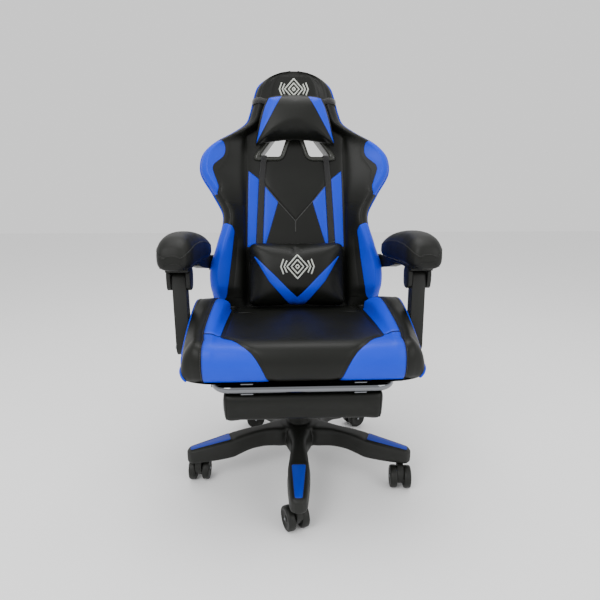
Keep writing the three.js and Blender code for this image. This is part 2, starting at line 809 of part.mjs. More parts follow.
function reclineLever() {
  const [y, z] = hinge;
  const start = uprightInner + uprightThick + touch;
  const hub = round("x", 15, start, start + 12, y, z, 20);
  const side = outline([[y, z - 10], [y, z + 12], [y - 122, z + 22], [y - 128, z + 6]], 8);
  return mirrored(join(hub, carried(side, start + 3, start + 12)), -1);
}

// ---- Armrest linkage ----

function armStrut() {
  const [footY, footZ] = linkLower;
  const [topY, topZ] = linkUpper;
  const r = strutDepth / 2;
  const lean = Math.atan2(topY - footY, topZ - footZ);
  const side = new THREE.Shape();
  side.absarc(footY, footZ, r, Math.PI - lean, 2 * Math.PI - lean, false);
  side.absarc(topY, topZ, r, -lean, Math.PI - lean, false);
  side.closePath();
  const bar = carried(side, -strutWidth / 2, strutWidth / 2, 8);
  const holes = [
    round("x", armPin + runFit, -50, 50, footY, footZ, 14),
    round("x", armPin + 2, -50, 50, topY, topZ, 14),
  ];
  const leaned = new THREE.Matrix4();
  const shear = strutLean / (topZ - footZ);
  leaned.set(1, 0, shear, strutFootX - shear * footZ, 0, 1, 0, 0, 0, 0, 1, 0, 0, 0, 0, 1);
  return cut(bar, ...holes).applyMatrix4(leaned);
}

function padCentreAt(y) {
  return linkFrontX - smooth([[-150, 2], [linkFrontY, 2], [20, 8], [90, 22], [150, 32]], y);
}

function armrestFrame() {
  const [frontY, frontZ] = linkUpper;
  const rearY = hinge[0] + linkRear[0];
  const plateHalf = padHalfWidth - 17;
  const plate = loft(
    [frontY - 38, frontY, 10, 60, 105].map((y) => {
      const x = y < 0 ? linkFrontX : padCentreAt(y);
      const half = y < 0 ? plateHalf : plateHalf - 10;
      return [[x - half, armrestUnder], [x + half, armrestUnder], [x + half, armrestUnder + armrestPlateThick],
        [x - half, armrestUnder + armrestPlateThick]].map(([a, z]) => new THREE.Vector3(a, y, z));
    }),
  );
  const cheekSide = outline(
    [[frontY - 27, armrestUnder + 4], [frontY - 24, frontZ - 30], [frontY + 24, frontZ - 30], [frontY + 29, armrestUnder + 4]], 19,
  );
  const cheekThick = (forkWidth - strutWidth) / 2 - forkGap;
  const cheeks = [linkFrontX - forkWidth / 2, linkFrontX + forkWidth / 2 - cheekThick].map((x) =>
    carried(cheekSide, x, x + cheekThick),
  );
  const pin = round("x", armPin, linkFrontX - forkWidth / 2 + 1, linkFrontX + forkWidth / 2 - 1, frontY, frontZ, 14);
  const bossOuter = reclinerInner + 23;
  const neck = loft(
    [
      [60, padCentreAt(60), armrestUnder + 3, 15, 10], [110, padCentreAt(110), armrestUnder - 6, 13, 16],
      [165, bossOuter + 1, armrestUnder - 12, 9, 19], [rearY + 4, bossOuter - 10, linkUpper[1], 10, 20],
    ].map(([y, x, z, halfX, halfZ]) => {
      const top = Math.min(z + halfZ, armrestUnder + armrestPlateThick);
      return [[x - halfX, z - halfZ], [x + halfX, z - halfZ], [x + halfX, top], [x - halfX, top]].map(
        ([a, b]) => new THREE.Vector3(a, y, b),
      );
    }),
  );
  const boss = round("x", 24, reclinerInner, bossOuter, rearY, linkUpper[1], 24);
  const bore = round("x", armPin + runFit, reclinerInner - 5, bossOuter + 5, rearY, linkUpper[1], 14);
  return cut(join(plate, ...cheeks, pin, neck, boss), bore);
}

function armrestPad() {
  const crown = padTop;
  const low = padUnder;
  const stations = [
    [-148, 26, crown - 44, low + 18], [-138, 36, crown - 26, low + 5], [-112, 43, crown - 9, low],
    [-60, 45, crown, low], [10, 43, crown - 4, low], [75, 37, crown - 18, low], [122, 30, crown - 36, low + 2],
    [146, 18, crown - 52, low + 10],
  ];
  return loft(
    stations.map(([y, half, top, bottom]) => {
      const x = padCentreAt(y);
      const tall = top - bottom;
      const ring = [];
      const corners = 14;
      for (let k = 0; k < corners; k += 1) {
        const a = (k / corners) * 2 * Math.PI;
        const power = 0.72;
        const dx = Math.sign(Math.cos(a)) * Math.abs(Math.cos(a)) ** power;
        const dz = Math.sign(Math.sin(a)) * Math.abs(Math.sin(a)) ** power;
        ring.push(new THREE.Vector3(x + half * dx, y, bottom + tall * (0.5 + 0.5 * dz)));
      }
      return ring;
    }),
  );
}

// ---- Backrest, in its own frame: X across, -Y forward, Z up along the back from the hinge ----

// The wings, shoulders and head keep their distance from the top, and the bolsters theirs from the hinge: the waist stretches.
const waistLow = 225;
const waistHigh = backHeight - 337;

function waistAt(share) {
  return waistLow + (waistHigh - waistLow) * share;
}

function backHalfWidthAt(s) {
  const w = shoulderHalfWidth;
  const h = backHeight;
  return smooth([[backBottom, w - 44], [101, w - 28], [163, w - 29], [waistLow, w - 47], [waistAt(0.42), w - 66],
    [waistAt(0.73), w - 38], [waistHigh, w - 4], [h - 302, w], [h - 267, w - 10], [h - 232, w - 43], [h - 198, w - 98],
    [h - 167, w - 137], [h - 132, w - 151], [h - 78, w - 164], [h - 43, w - 177], [h - 19, w - 202], [h, w - 262]], s);
}

function wingCrestAt(s) {
  const c = wingCrest;
  const h = backHeight;
  return smooth([[backBottom, c - 46], [70, c - 22], [101, c - 2], [202, c], [waistAt(0.51), c - 6], [h - 310, c - 10],
    [h - 248, c - 20], [h - 178, c - 38], [h - 124, c - 47], [h - 54, c - 53], [h, c - 62]], s);
}

function backSection(s) {
  const w = backHalfWidthAt(s);
  const crest = wingCrestAt(s);
  const narrow = Math.min(1, w / 130);
  const panel = Math.max(Math.min(142, w - 58 * narrow), 6);
  const low = s < waistLow;
  const side = low ? Math.min(w, hingePlateInner - 1.6) : w;
  const rim = low ? 42 : crest - 34;
  const rear = s > backHeight - 23 ? backRear - 12 : backRear;
  const front = Math.min(panelFront, crest - 4);
  const half = [
    [panel, front], [panel + (w - panel) * 0.22, front + (crest - front) * 0.35], [w - 34 * narrow, crest - 4],
    [w - 22 * narrow, crest], [w - 8 * narrow, crest - 10], [w, Math.max(rim, crest - 30, -10)],
    [side - (low ? 0 : 3), low ? 30 : 4], [side - 10 * narrow, -rear * 0.62], [side - 36 * narrow, -rear],
  ];
  const ring = half.map(([x, t]) => new THREE.Vector3(x, -t, s));
  return [...ring, ...ring.map((p) => new THREE.Vector3(-p.x, p.y, p.z)).reverse()];
}

// Harness hole corners for x > 0, anticlockwise in X and Z.
const holeCorners = [[46, holeBottom], [111, holeBottom], [52, holeTop], [19, holeTop]];
const bezelWall = 3.6;
const bezelFlange = 14;
const bezelProud = 3;

function throughHole(grow) {
  return faced(outline(grown(holeCorners, grow), 9 + grow), -120, 120, 3);
}

function backShell() {
  const h = backHeight;
  const levels = [backBottom, 54, 78, 108, 155, 190, waistLow - 1, waistLow + 4, waistAt(0.22), waistAt(0.42),
    waistAt(0.62), waistAt(0.84), h - 333, h - 298, h - 264, h - 232, h - 202, h - 167, h - 124, h - 78, h - 43, h - 19, h];
  const hole = throughHole(bezelWall + touch);
  return cut(loft(levels.map(backSection)), hole, mirrored(throughHole(bezelWall + touch), -1));
}

function holeBezel() {
  const outer = outline(grown(holeCorners, bezelWall), 9 + bezelWall);
  const flange = outline(grown(holeCorners, bezelFlange), 9 + bezelFlange);
  const front = -panelFront - touch;
  const tube = faced(outer, front, backRear, 3);
  const lip = faced(flange, front - bezelProud, front, 3);
  return cut(join(tube, lip), throughHole(0));
}

function hingePlate() {
  const side = outline(
    [[-24, -26], [24, -26], [20, 60], [linkPinT + 20, linkPinS + 26], [linkPinT - 20, linkPinS + 26], [-20, 60]], 14,
  );
  const plate = carried(side, hingePlateInner, hingePlateInner + hingePlateThick, 3);
  const pivot = round("x", 8 + runFit, hingePlateInner - 5, hingePlateInner + 20, 0, 0, 16);
  const pinEnd = reclinerInner + 26;
  const pin = round("x", armPin, hingePlateInner + 1, pinEnd, linkPinT, linkPinS, 14);
  return cut(join(plate, pin), pivot);
}

// The armrest's rear pivot in the backrest's own frame.
const tilt = degrees(backTilt);
const linkPinT = linkRear[0] * Math.cos(tilt) - linkRear[1] * Math.sin(tilt);
const linkPinS = linkRear[0] * Math.sin(tilt) + linkRear[1] * Math.cos(tilt);

// A cushion on a flat back: the outline drawn in towards its middle at the front and rear.
function pillow(shape, back, thick) {
  const flat = shape.getPoints(4);
  if (flat[0].distanceTo(flat[flat.length - 1]) < 1e-6) flat.pop();
  const middle = new THREE.Vector2();
  flat.forEach((p) => middle.add(p));
  middle.divideScalar(flat.length);
  const layers = [[0, 0.88], [0.22, 0.98], [0.5, 1], [0.78, 0.94], [1, 0.74]];
  return loft(
    layers.map(([depth, share]) =>
      flat.map((p) => {
        const q = p.clone().sub(middle).multiplyScalar(share).add(middle);
        return new THREE.Vector3(q.x, -back - depth * thick, q.y);
      }),
    ),
  );
}

const pillowBack = panelFront + bezelProud + touch + 2.8;

function headPillow() {
  const low = pillowLow;
  const arch = low + headPillowHeight * 0.16;
  const top = low + headPillowHeight;
  const wide = headPillowHalfLow;
  const slim = headPillowHalfTop;
  const shape = new THREE.Shape();
  shape.moveTo(-wide, low);
  shape.quadraticCurveTo(-wide / 2, arch, 0, arch);
  shape.quadraticCurveTo(wide / 2, arch, wide, low);
  shape.quadraticCurveTo(wide * 0.92, (low + top) / 2, slim, top);
  shape.quadraticCurveTo(0, top + 10, -slim, top);
  shape.quadraticCurveTo(-wide * 0.92, (low + top) / 2, -wide, low);
  return pillow(shape, pillowBack, headPillowThick);
}

function lumbarPillow() {
  const w = lumbarHalfWidth;
  const shape = outline([[-w, lumbarBottom], [w, lumbarBottom], [w, lumbarTop], [-w, lumbarTop]], 26);
  return pillow(shape, pillowBack, lumbarThick);
}

// Webbing from behind the lumbar pillow up into the harness hole and down the rear face.
function lumbarStrap() {
  const over = pillowBack - 1.6;
  const flat = panelFront + 1.8;
  const behind = backRear + 4;
  const hole = holeBottom + 5;
  const lip = holeBottom - bezelFlange;
  const start = lumbarTop - 21;
  const tail = 130;
  const route = [[-flat, start], [-flat, lip - 12], [-over, lip - 2], [-over, hole - 4], [-over + 4, hole],
    [behind - 3, hole], [behind, hole - 4], [behind, hole - tail]];
  const strip = carried(band(route, webbingThick), -webbingWidth / 2, webbingWidth / 2);
  const leanOut = degrees(4.4);
  const holeMiddle = 89;
  return strip.translate(0, 0, -hole).rotateY(-leanOut).translate(holeMiddle, 0, hole);
}

// Elastic band round the back of the head, its ends meeting the head pillow's sides.
function headStrap() {
  const low = backHeight - 112;
  const w = backHalfWidthAt(low + strapWidth / 2);
  const rear = -backRear - 4;
  const half = [[w - 31, 50], [w - 20, 46], [w - 2, 34], [w + 8, 8], [w + 4, -26], [w - 20, rear], [0, rear]];
  const left = half.slice(0, -1).map(([x, t]) => [-x, -t]).reverse();
  const route = [...half.map(([x, t]) => [x, -t]), ...left];
  return raised(band(route, webbingThick), low, low + strapWidth);
}

// ---- Assembly ----

const chair = new THREE.Group();

const base = new THREE.Group();
base.rotation.z = degrees(baseTurn);
base.add(mesh("star_base", starBase(), blackNylon));
for (let i = 0; i < armCount; i += 1) {
  const insert = mesh(`arm_insert_${i + 1}`, insertPlate(0), blueNylon);
  insert.rotation.z = armAngle(i);
  base.add(insert, castor(i));
}
base.add(mesh("gas_outer_tube", liftOuterTube(), blackSteel));
base.add(mesh("cover_lower", liftCover(0, coverLow, coverLow + coverLength), blackNylon));
chair.add(base);

chair.add(mesh("piston_rod", pistonRod(), springSteel));
chair.add(mesh("gas_inner_tube", liftInnerTube(), springSteel));
chair.add(mesh("cover_middle", liftCover(1, coverLow + 5, coverLow + 5 + coverLength), blackNylon));
chair.add(mesh("cover_upper", liftCover(2, coverLow + 14, housingBottom - touch), blackNylon));
chair.add(mesh("mechanism_housing", mechanismHousing(), blackSteel));
chair.add(mesh("mechanism_plate", mechanismPlate(), blackSteel));
chair.add(mesh("tension_knob", tensionKnob(), blackNylon));
chair.add(mesh("tension_spring", tensionSpring(), springSteel));
chair.add(mesh("lift_lever", liftLever(), blackSteel));

chair.add(mesh("seat_frame", seatFrame(), blackSteel));
chair.add(mesh("seat_cushion", seatCushion(), blackLeather));
chair.add(mesh("footrest_frame", footrestFrame(), chrome));
chair.add(mesh("footrest_pad", footrestPad(), blackLeather));
chair.add(mesh("footrest_hinge", footrestHinge(), blackSteel));
chair.add(mesh("recline_lever", reclineLever(), blackNylon));
sides.forEach(([side, sign]) => {
  chair.add(mesh(`seat_bolster_${side}`, mirrored(seatBolster(), sign), blueLeather));
  chair.add(mesh(`footrest_guide_${side}`, mirrored(footrestGuide(), sign), blackNylon));
  chair.add(mesh(`recliner_${side}`, mirrored(recliner(), sign), blackSteel));
  chair.add(mesh(`arm_strut_${side}`, mirrored(armStrut(), sign), blackNylon));
  chair.add(mesh(`armrest_frame_${side}`, mirrored(armrestFrame(), sign), blackNylon));
  chair.add(mesh(`armrest_pad_${side}`, mirrored(armrestPad(), sign), padFoam));
});

const backrest = new THREE.Group();
backrest.position.set(0, hinge[0], hinge[1]);
backrest.rotation.x = -tilt;
backrest.add(mesh("back_shell", backShell(), blackLeather));
backrest.add(mesh("head_pillow", headPillow(), blackLeather));
backrest.add(mesh("lumbar_pillow", lumbarPillow(), blackLeather));
backrest.add(mesh("head_strap", headStrap(), webbing));
sides.forEach(([side, sign]) => {
  backrest.add(mesh(`hinge_plate_${side}`, mirrored(hingePlate(), sign), blackSteel));
  backrest.add(mesh(`hole_bezel_${side}`, mirrored(holeBezel(), sign), greyTrim));
  backrest.add(mesh(`lumbar_strap_${side}`, mirrored(lumbarStrap(), sign), webbing));
});
chair.add(backrest);

// The origin moves to the floor under the middle of the chair's box.
chair.updateMatrixWorld(true);
const box = new THREE.Box3().setFromObject(chair, true);
const part = new THREE.Group();
chair.position.set(-(box.min.x + box.max.x) / 2, -(box.min.y + box.max.y) / 2, 0);
part.add(chair);

export default part;
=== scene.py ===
import bmesh
import bpy
import math
import numpy as np
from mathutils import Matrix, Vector
from mathutils.bvhtree import BVHTree


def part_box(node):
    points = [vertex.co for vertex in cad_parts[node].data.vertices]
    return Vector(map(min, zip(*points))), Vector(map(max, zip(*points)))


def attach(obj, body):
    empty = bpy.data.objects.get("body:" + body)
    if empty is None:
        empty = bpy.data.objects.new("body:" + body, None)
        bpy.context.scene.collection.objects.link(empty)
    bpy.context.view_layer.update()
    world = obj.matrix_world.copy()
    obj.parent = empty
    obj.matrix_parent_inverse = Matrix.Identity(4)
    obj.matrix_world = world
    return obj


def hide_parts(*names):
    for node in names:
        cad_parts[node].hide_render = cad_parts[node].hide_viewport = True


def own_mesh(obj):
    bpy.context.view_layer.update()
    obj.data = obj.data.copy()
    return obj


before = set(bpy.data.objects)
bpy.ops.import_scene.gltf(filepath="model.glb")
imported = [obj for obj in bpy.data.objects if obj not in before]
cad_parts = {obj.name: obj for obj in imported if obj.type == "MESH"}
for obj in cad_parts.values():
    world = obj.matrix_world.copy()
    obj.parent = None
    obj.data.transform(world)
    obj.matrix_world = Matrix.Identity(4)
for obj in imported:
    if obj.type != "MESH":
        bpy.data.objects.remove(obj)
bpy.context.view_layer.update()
print("frame loaded")

# Lengths below are in millimetres in the chair's own frame, where the swivel axis is x = 0, y = 0
tubeLow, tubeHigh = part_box("gas_outer_tube")
swivelY = (tubeLow.y + tubeHigh.y) / 2
backHinge = {"y": 185, "z": 400, "tilt": math.radians(13)}


def toRow(points):
    p = np.asarray(points, float) / 1000
    p[..., 1] += swivelY
    return p


# A place on the backrest: x across, t forward of the hinge plane, s along the back from the hinge
def onBack(x, t, s):
    c, n = math.cos(backHinge["tilt"]), math.sin(backHinge["tilt"])
    x, t, s = np.broadcast_arrays(np.asarray(x, float), t, s)
    return np.stack([x, backHinge["y"] - t * c + s * n, backHinge["z"] + t * n + s * c], -1)


def smooth(keys, place):
    last = len(keys) - 1
    if place <= keys[0][0]:
        return keys[0][1]
    if place >= keys[last][0]:
        return keys[last][1]
    i = next(k for k, key in enumerate(keys) if key[0] > place) - 1

    def slope(k):
        if k in (0, last):
            return 0
        return (keys[k + 1][1] - keys[k - 1][1]) / (keys[k + 1][0] - keys[k - 1][0])

    span = keys[i + 1][0] - keys[i][0]
    u = (place - keys[i][0]) / span
    rise = (keys[i + 1][1] - keys[i][1]) * u * u * (3 - 2 * u)
    return keys[i][1] + rise + u * (1 - u) ** 2 * span * slope(i) + u * u * (u - 1) * span * slope(i + 1)


# Points on a smooth curve through control points, the same number for each span
def through(points, perSpan, closed=False):
    p = np.asarray(points, float)
    n = len(p)
    spans = n if closed else n - 1
    found = []
    for i in range(spans):
        if closed:
            a, b, c, d = p[(i - 1) % n], p[i], p[(i + 1) % n], p[(i + 2) % n]
        else:
            a, b, c, d = p[max(i - 1, 0)], p[i], p[i + 1], p[min(i + 2, n - 1)]
        for k in range(perSpan):
            u = k / perSpan
            m0, m1 = (c - a) * 0.42, (d - b) * 0.42
            found.append((2 * u**3 - 3 * u**2 + 1) * b + (u**3 - 2 * u**2 + u) * m0
                         + (3 * u**2 - 2 * u**3) * c + (u**3 - u**2) * m1)
    if not closed:
        found.append(p[-1])
    return np.array(found)



def linear(code):
    rgb = [int(code[i:i + 2], 16) / 255 for i in (1, 3, 5)]
    return [c / 12.92 if c <= 0.04045 else ((c + 0.055) / 1.055) ** 2.4 for c in rgb] + [1]


def addNode(tree, kind, settings=None, **inputs):
    node = tree.nodes.new(kind)
    for key, value in (settings or {}).items():
        setattr(node, key, value)
    for key, value in inputs.items():
        numbered = key[0] == "i" and key[1:].isdigit()
        socket = node.inputs[int(key[1:]) if numbered else key.replace("_", " ")]
        if isinstance(value, bpy.types.NodeSocket):
            tree.links.new(value, socket)
        else:
            socket.default_value = value
    return node


def startMaterial(name, color, roughness, **sockets):
    material = bpy.data.materials.new(name)
    material.use_nodes = True
    tree = material.node_tree
    shader = tree.nodes["Principled BSDF"]
    shader.inputs["Base Color"].default_value = linear(color)
    shader.inputs["Roughness"].default_value = roughness
    for key, value in sockets.items():
        shader.inputs[key.replace("_", " ")].default_value = value
    place = addNode(tree, "ShaderNodeTexCoord").outputs["Object"]
    return material, tree, shader, place


def emboss(tree, shader, height, strength, depth):
    bump = addNode(tree, "ShaderNodeBump", None, Height=height, Strength=strength, Distance=depth)
    tree.links.new(bump.outputs["Normal"], shader.inputs["Normal"])


# Roughness that wanders between two values with a pattern
def varyRoughness(tree, shader, pattern, low, high):
    rough = addNode(tree, "ShaderNodeMapRange", None, Value=pattern)
    rough.inputs["To Min"].default_value = low
    rough.inputs["To Max"].default_value = high
    tree.links.new(rough.outputs["Result"], shader.inputs["Roughness"])


def varyColor(tree, shader, pattern, color, shade):
    tint = addNode(tree, "ShaderNodeMix", {"data_type": "RGBA"}, Factor=pattern)
    tint.inputs[6].default_value = linear(color)
    tint.inputs[7].default_value = linear(shade)
    tree.links.new(tint.outputs[2], shader.inputs["Base Color"])


# Artificial leather: polyurethane skin embossed with a pebble grain, which breaks the highlight up softly
leather = {"grain": 1.6, "grainDepth": 0.10, "crease": 42, "creaseDepth": 0.5, "polish": 30}


def polyurethaneLeather(name, color, shade, roughness):
    material, tree, shader, place = startMaterial(name, color, roughness, Specular_IOR_Level=0.2)
    pebbles = addNode(tree, "ShaderNodeTexVoronoi", {"feature": "SMOOTH_F1"}, Vector=place,
                      Scale=1000 / leather["grain"], Smoothness=0.6)
    creases = addNode(tree, "ShaderNodeTexNoise", None, Vector=place, Scale=1000 / leather["crease"],
                      Detail=4.0, Roughness=0.55, Distortion=0.4)
    grain = addNode(tree, "ShaderNodeBump", None, Height=pebbles.outputs["Distance"], Strength=0.35,
                    Distance=leather["grainDepth"] / 1000)
    waves = addNode(tree, "ShaderNodeBump", None, Height=creases.outputs["Fac"], Normal=grain.outputs["Normal"],
                    Strength=0.3, Distance=leather["creaseDepth"] / 1000)
    tree.links.new(waves.outputs["Normal"], shader.inputs["Normal"])
    worn = addNode(tree, "ShaderNodeTexNoise", None, Vector=place, Scale=1000 / leather["polish"] / 3, Detail=3.0)
    varyColor(tree, shader, worn.outputs["Fac"], color, shade)
    varyRoughness(tree, shader, worn.outputs["Fac"], roughness - 0.06, roughness + 0.07)
    return material


# Glass-filled nylon, injection moulded with a fine spark-eroded texture: matt, slightly grey at the edges
def mouldedNylon(name, color, shade, roughness, grain=0.7):
    material, tree, shader, place = startMaterial(name, color, roughness, Specular_IOR_Level=0.3)
    texture = addNode(tree, "ShaderNodeTexNoise", None, Vector=place, Scale=1000 / grain, Detail=2.0)
    emboss(tree, shader, texture.outputs["Fac"], 0.25, 0.00008)
    cloud = addNode(tree, "ShaderNodeTexNoise", None, Vector=place, Scale=1000 / 60, Detail=3.0)
    varyColor(tree, shader, cloud.outputs["Fac"], color, shade)
    varyRoughness(tree, shader, cloud.outputs["Fac"], roughness - 0.05, roughness + 0.08)
    return material


# Mild steel under black powder coat: satin with a slight orange peel
def powderCoat(name):
    material, tree, shader, place = startMaterial(name, "#0e0f0f", 0.42, Specular_IOR_Level=0.35)
    peel = addNode(tree, "ShaderNodeTexNoise", None, Vector=place, Scale=1000 / 2.2, Detail=1.0)
    emboss(tree, shader, peel.outputs["Fac"], 0.3, 0.00012)
    cloud = addNode(tree, "ShaderNodeTexNoise", None, Vector=place, Scale=1000 / 35, Detail=4.0)
    varyRoughness(tree, shader, cloud.outputs["Fac"], 0.34, 0.52)
    return material


# Chromed steel tube: a dark, sharp mirror with faint wipe marks
def chromedSteel(name):
    material, tree, shader, place = startMaterial(name, "#74767a", 0.08, Metallic=1.0)
    wipe = addNode(tree, "ShaderNodeTexNoise", None, Vector=place, Scale=1000 / 18, Detail=5.0)
    varyRoughness(tree, shader, wipe.outputs["Fac"], 0.04, 0.14)
    return material


# Ground spring steel, oiled: grey metal with fine turning marks across Z
def groundSteel(name):
    material, tree, shader, place = startMaterial(name, "#8b8e92", 0.3, Metallic=1.0)
    marks = addNode(tree, "ShaderNodeTexWave", {"bands_direction": "Z"}, Vector=place, Scale=1000 / 12,
                    Distortion=1.5,
                    Detail=2.0)
    varyRoughness(tree, shader, marks.outputs["Fac"], 0.22, 0.38)
    return material


# Self-skinned polyurethane foam: dull black skin with a faint leather print
def foamSkin(name):
    material, tree, shader, place = startMaterial(name, "#0f100d", 0.5, Specular_IOR_Level=0.25)
    imprint = addNode(tree, "ShaderNodeTexVoronoi", {"feature": "SMOOTH_F1"}, Vector=place, Scale=1000 / 2.1)
    emboss(tree, shader, imprint.outputs["Distance"], 0.3, 0.00012)
    cloud = addNode(tree, "ShaderNodeTexNoise", None, Vector=place, Scale=1000 / 45, Detail=3.0)
    varyRoughness(tree, shader, cloud.outputs["Fac"], 0.42, 0.6)
    return material


# Polyester webbing: ribs 1.6 mm apart, dull, with a soft sheen
def wovenWebbing(name, color):
    material, tree, shader, place = startMaterial(name, color, 0.85, Sheen_Weight=0.3)
    ribs = addNode(tree, "ShaderNodeTexWave", {"bands_direction": "Z"}, Vector=place, Scale=1000 / 1.6 / 6.28 * 2)
    cross = addNode(tree, "ShaderNodeTexWave", {"bands_direction": "X"}, Vector=place, Scale=1000 / 1.2 / 6.28 * 2)
    both = addNode(tree, "ShaderNodeMath", {"operation": "MULTIPLY"}, i0=ribs.outputs["Fac"], i1=cross.outputs["Fac"])
    emboss(tree, shader, both.outputs["Value"], 0.6, 0.0003)
    return material


# Rayon embroidery thread: bright satin, its lay drawn as fine diagonal ribs 1.1 mm apart so that they show
def satinThread(name, color, roughness=0.38):
    material, tree, shader, place = startMaterial(name, color, roughness, Sheen_Weight=0.2)
    ribs = addNode(tree, "ShaderNodeTexWave", {"bands_direction": "DIAGONAL"}, Vector=place,
                   Scale=1000 / 1.1 / 6.28 * 2)
    emboss(tree, shader, ribs.outputs["Fac"], 0.5, 0.0003)
    return material


blackLeather = polyurethaneLeather("black_pu_leather", "#0f100d", "#141512", 0.42)
blueLeather = polyurethaneLeather("blue_pu_leather", "#0231c4", "#0638d2", 0.4)
blackNylon = mouldedNylon("black_moulded_nylon", "#10110e", "#161714", 0.48)
blueNylon = mouldedNylon("blue_moulded_nylon", "#052c9c", "#0732aa", 0.38)
trimNylon = mouldedNylon("grey_satin_nylon", "#2c2d29", "#343531", 0.26)
coatedSteel = powderCoat("black_powder_coat")
brightChrome = chromedSteel("chromed_steel_tube")
springSteel = groundSteel("ground_spring_steel")
armFoam = foamSkin("self_skinned_foam")
strapWeb = wovenWebbing("black_polyester_webbing", "#161616")
silverThread = satinThread("silver_rayon_thread", "#b9bdb4")
blackThread = satinThread("black_sewing_thread", "#2b2c2a", 0.6)
blueThread = satinThread("blue_sewing_thread", "#062678", 0.6)
print("materials made")



def addPiece(name, points, faces, material, body, slot=None, smoothShade=True, flip=False):
    data = bpy.data.meshes.new(name)
    data.from_pydata([tuple(p) for p in toRow(points)], [], [tuple(f) for f in faces])
    data.validate()
    shape = bmesh.new()
    shape.from_mesh(data)
    bmesh.ops.remove_doubles(shape, verts=shape.verts, dist=1e-5)
    bmesh.ops.recalc_face_normals(shape, faces=shape.faces)
    if flip:
        bmesh.ops.reverse_faces(shape, faces=shape.faces)
    shape.to_mesh(data)
    shape.free()
    piece = bpy.data.objects.new(name, data)
    bpy.context.scene.collection.objects.link(piece)
    data.materials.append(material)
    if smoothShade:
        data.shade_smooth()
    piece["body"] = body
    return piece


# Several lists of points and faces as one
class Bag:
    def __init__(self):
        self.points, self.faces, self.count = [], [], 0

    def add(self, points, faces):
        points = np.asarray(points, float).reshape(-1, 3)
        self.points.append(points)
        self.faces += [[i + self.count for i in f] for f in faces]
        self.count += len(points)

    def piece(self, name, material, body, slot=None, **more):
        return addPiece(name, np.concatenate(self.points), self.faces, material, body, slot, **more)


# Faces of a grid of rows by columns, wrapped round the columns or capped at the ends if asked
def gridFaces(rows, columns, around=False, caps=False):
    faces = []
    wide = columns if around else columns - 1
    for r in range(rows - 1):
        for c in range(wide):
            d = (c + 1) % columns
            faces.append([r * columns + c, r * columns + d, (r + 1) * columns + d, (r + 1) * columns + c])
    if caps:
        faces.append(list(range(columns))[::-1])
        faces.append([(rows - 1) * columns + c for c in range(columns)])
    return faces


def addLoft(bag, rings, caps=True):
    rings = np.asarray(rings, float)
    bag.add(rings, gridFaces(len(rings), rings.shape[1], True, caps))


# A round or oval bar along points; side and up give its half sizes
def addBar(bag, path, side, up=None, corners=12, closed=False, hint=(0, 0, 1)):
    path = np.asarray(path, float)
    up = side if up is None else up
    ahead = np.roll(path, -1, 0) - np.roll(path, 1, 0)
    if not closed:
        ahead[0], ahead[-1] = path[1] - path[0], path[-1] - path[-2]
    ahead /= np.linalg.norm(ahead, axis=1)[:, None]
    hints = np.broadcast_to(np.asarray(hint, float), path.shape)
    across = np.cross(hints, ahead)
    weak = np.linalg.norm(across, axis=1) < 1e-3
    across[weak] = np.cross((0, 1, 0.1), ahead[weak])
    across /= np.linalg.norm(across, axis=1)[:, None]
    over = np.cross(ahead, across)
    a = np.linspace(0, 2 * np.pi, corners, endpoint=False)
    rings = (path[:, None] + across[:, None] * (side * np.cos(a))[None, :, None]
             + over[:, None] * (up * np.sin(a))[None, :, None])
    faces = gridFaces(len(path), corners, True, not closed)
    if closed:
        last = (len(path) - 1) * corners
        faces += [[last + c, last + (c + 1) % corners, (c + 1) % corners, c] for c in range(corners)]
    bag.add(rings, faces)


# A turned shape from (radius, height) pairs, standing on a centre along an axis;
# the profile starts and ends at radius 0
def addTurned(bag, profile, centre, axis=(0, 0, 1), corners=32):
    axis = np.asarray(axis, float) / np.linalg.norm(axis)
    side = np.cross(axis, (0, 0, 1) if abs(axis[2]) < 0.9 else (1, 0, 0))
    side /= np.linalg.norm(side)
    other = np.cross(axis, side)
    a = np.linspace(0, 2 * np.pi, corners, endpoint=False)
    ring = side * np.cos(a)[:, None] + other * np.sin(a)[:, None]
    rings = [np.asarray(centre) + axis * h + ring * max(r, 0.02) for r, h in profile]
    addLoft(bag, rings)


def modified(piece):
    made = bpy.data.meshes.new_from_object(piece.evaluated_get(bpy.context.evaluated_depsgraph_get()))
    old = piece.data
    piece.modifiers.clear()
    piece.data = made
    bpy.data.meshes.remove(old)
    return piece


# A hard CAD part again with rounded edges: its triangles are merged, flat faces joined,
# and every sharp edge rolled over
def refined(nodes, material, body, edge=1.0, steps=2, name=None):
    name = name or nodes[0] + "_finish"
    data = bpy.data.meshes.new(name)
    shape = bmesh.new()
    for node in nodes:
        shape.from_mesh(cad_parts[node].data)
    bmesh.ops.remove_doubles(shape, verts=shape.verts, dist=2e-6)
    bmesh.ops.dissolve_limit(shape, angle_limit=math.radians(0.6), verts=shape.verts, edges=shape.edges)
    shape.to_mesh(data)
    shape.free()
    piece = bpy.data.objects.new(name, data)
    bpy.context.scene.collection.objects.link(piece)
    data.materials.clear()
    data.materials.append(material)
    if edge:
        roll = piece.modifiers.new("roll", "BEVEL")
        roll.width = edge / 1000
        roll.segments = steps
        roll.limit_method = "ANGLE"
        roll.angle_limit = math.radians(32)
        roll.use_clamp_overlap = True
        roll.miter_outer = "MITER_ARC"
        modified(piece)
    piece.data.shade_smooth()
    piece.data.set_sharp_from_angle(angle=math.radians(38))
    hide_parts(*nodes)
    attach(piece, body)
    return piece


def settle(piece, *nodes):
    if nodes:
        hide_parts(*nodes)
    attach(piece, piece["body"])
    return piece


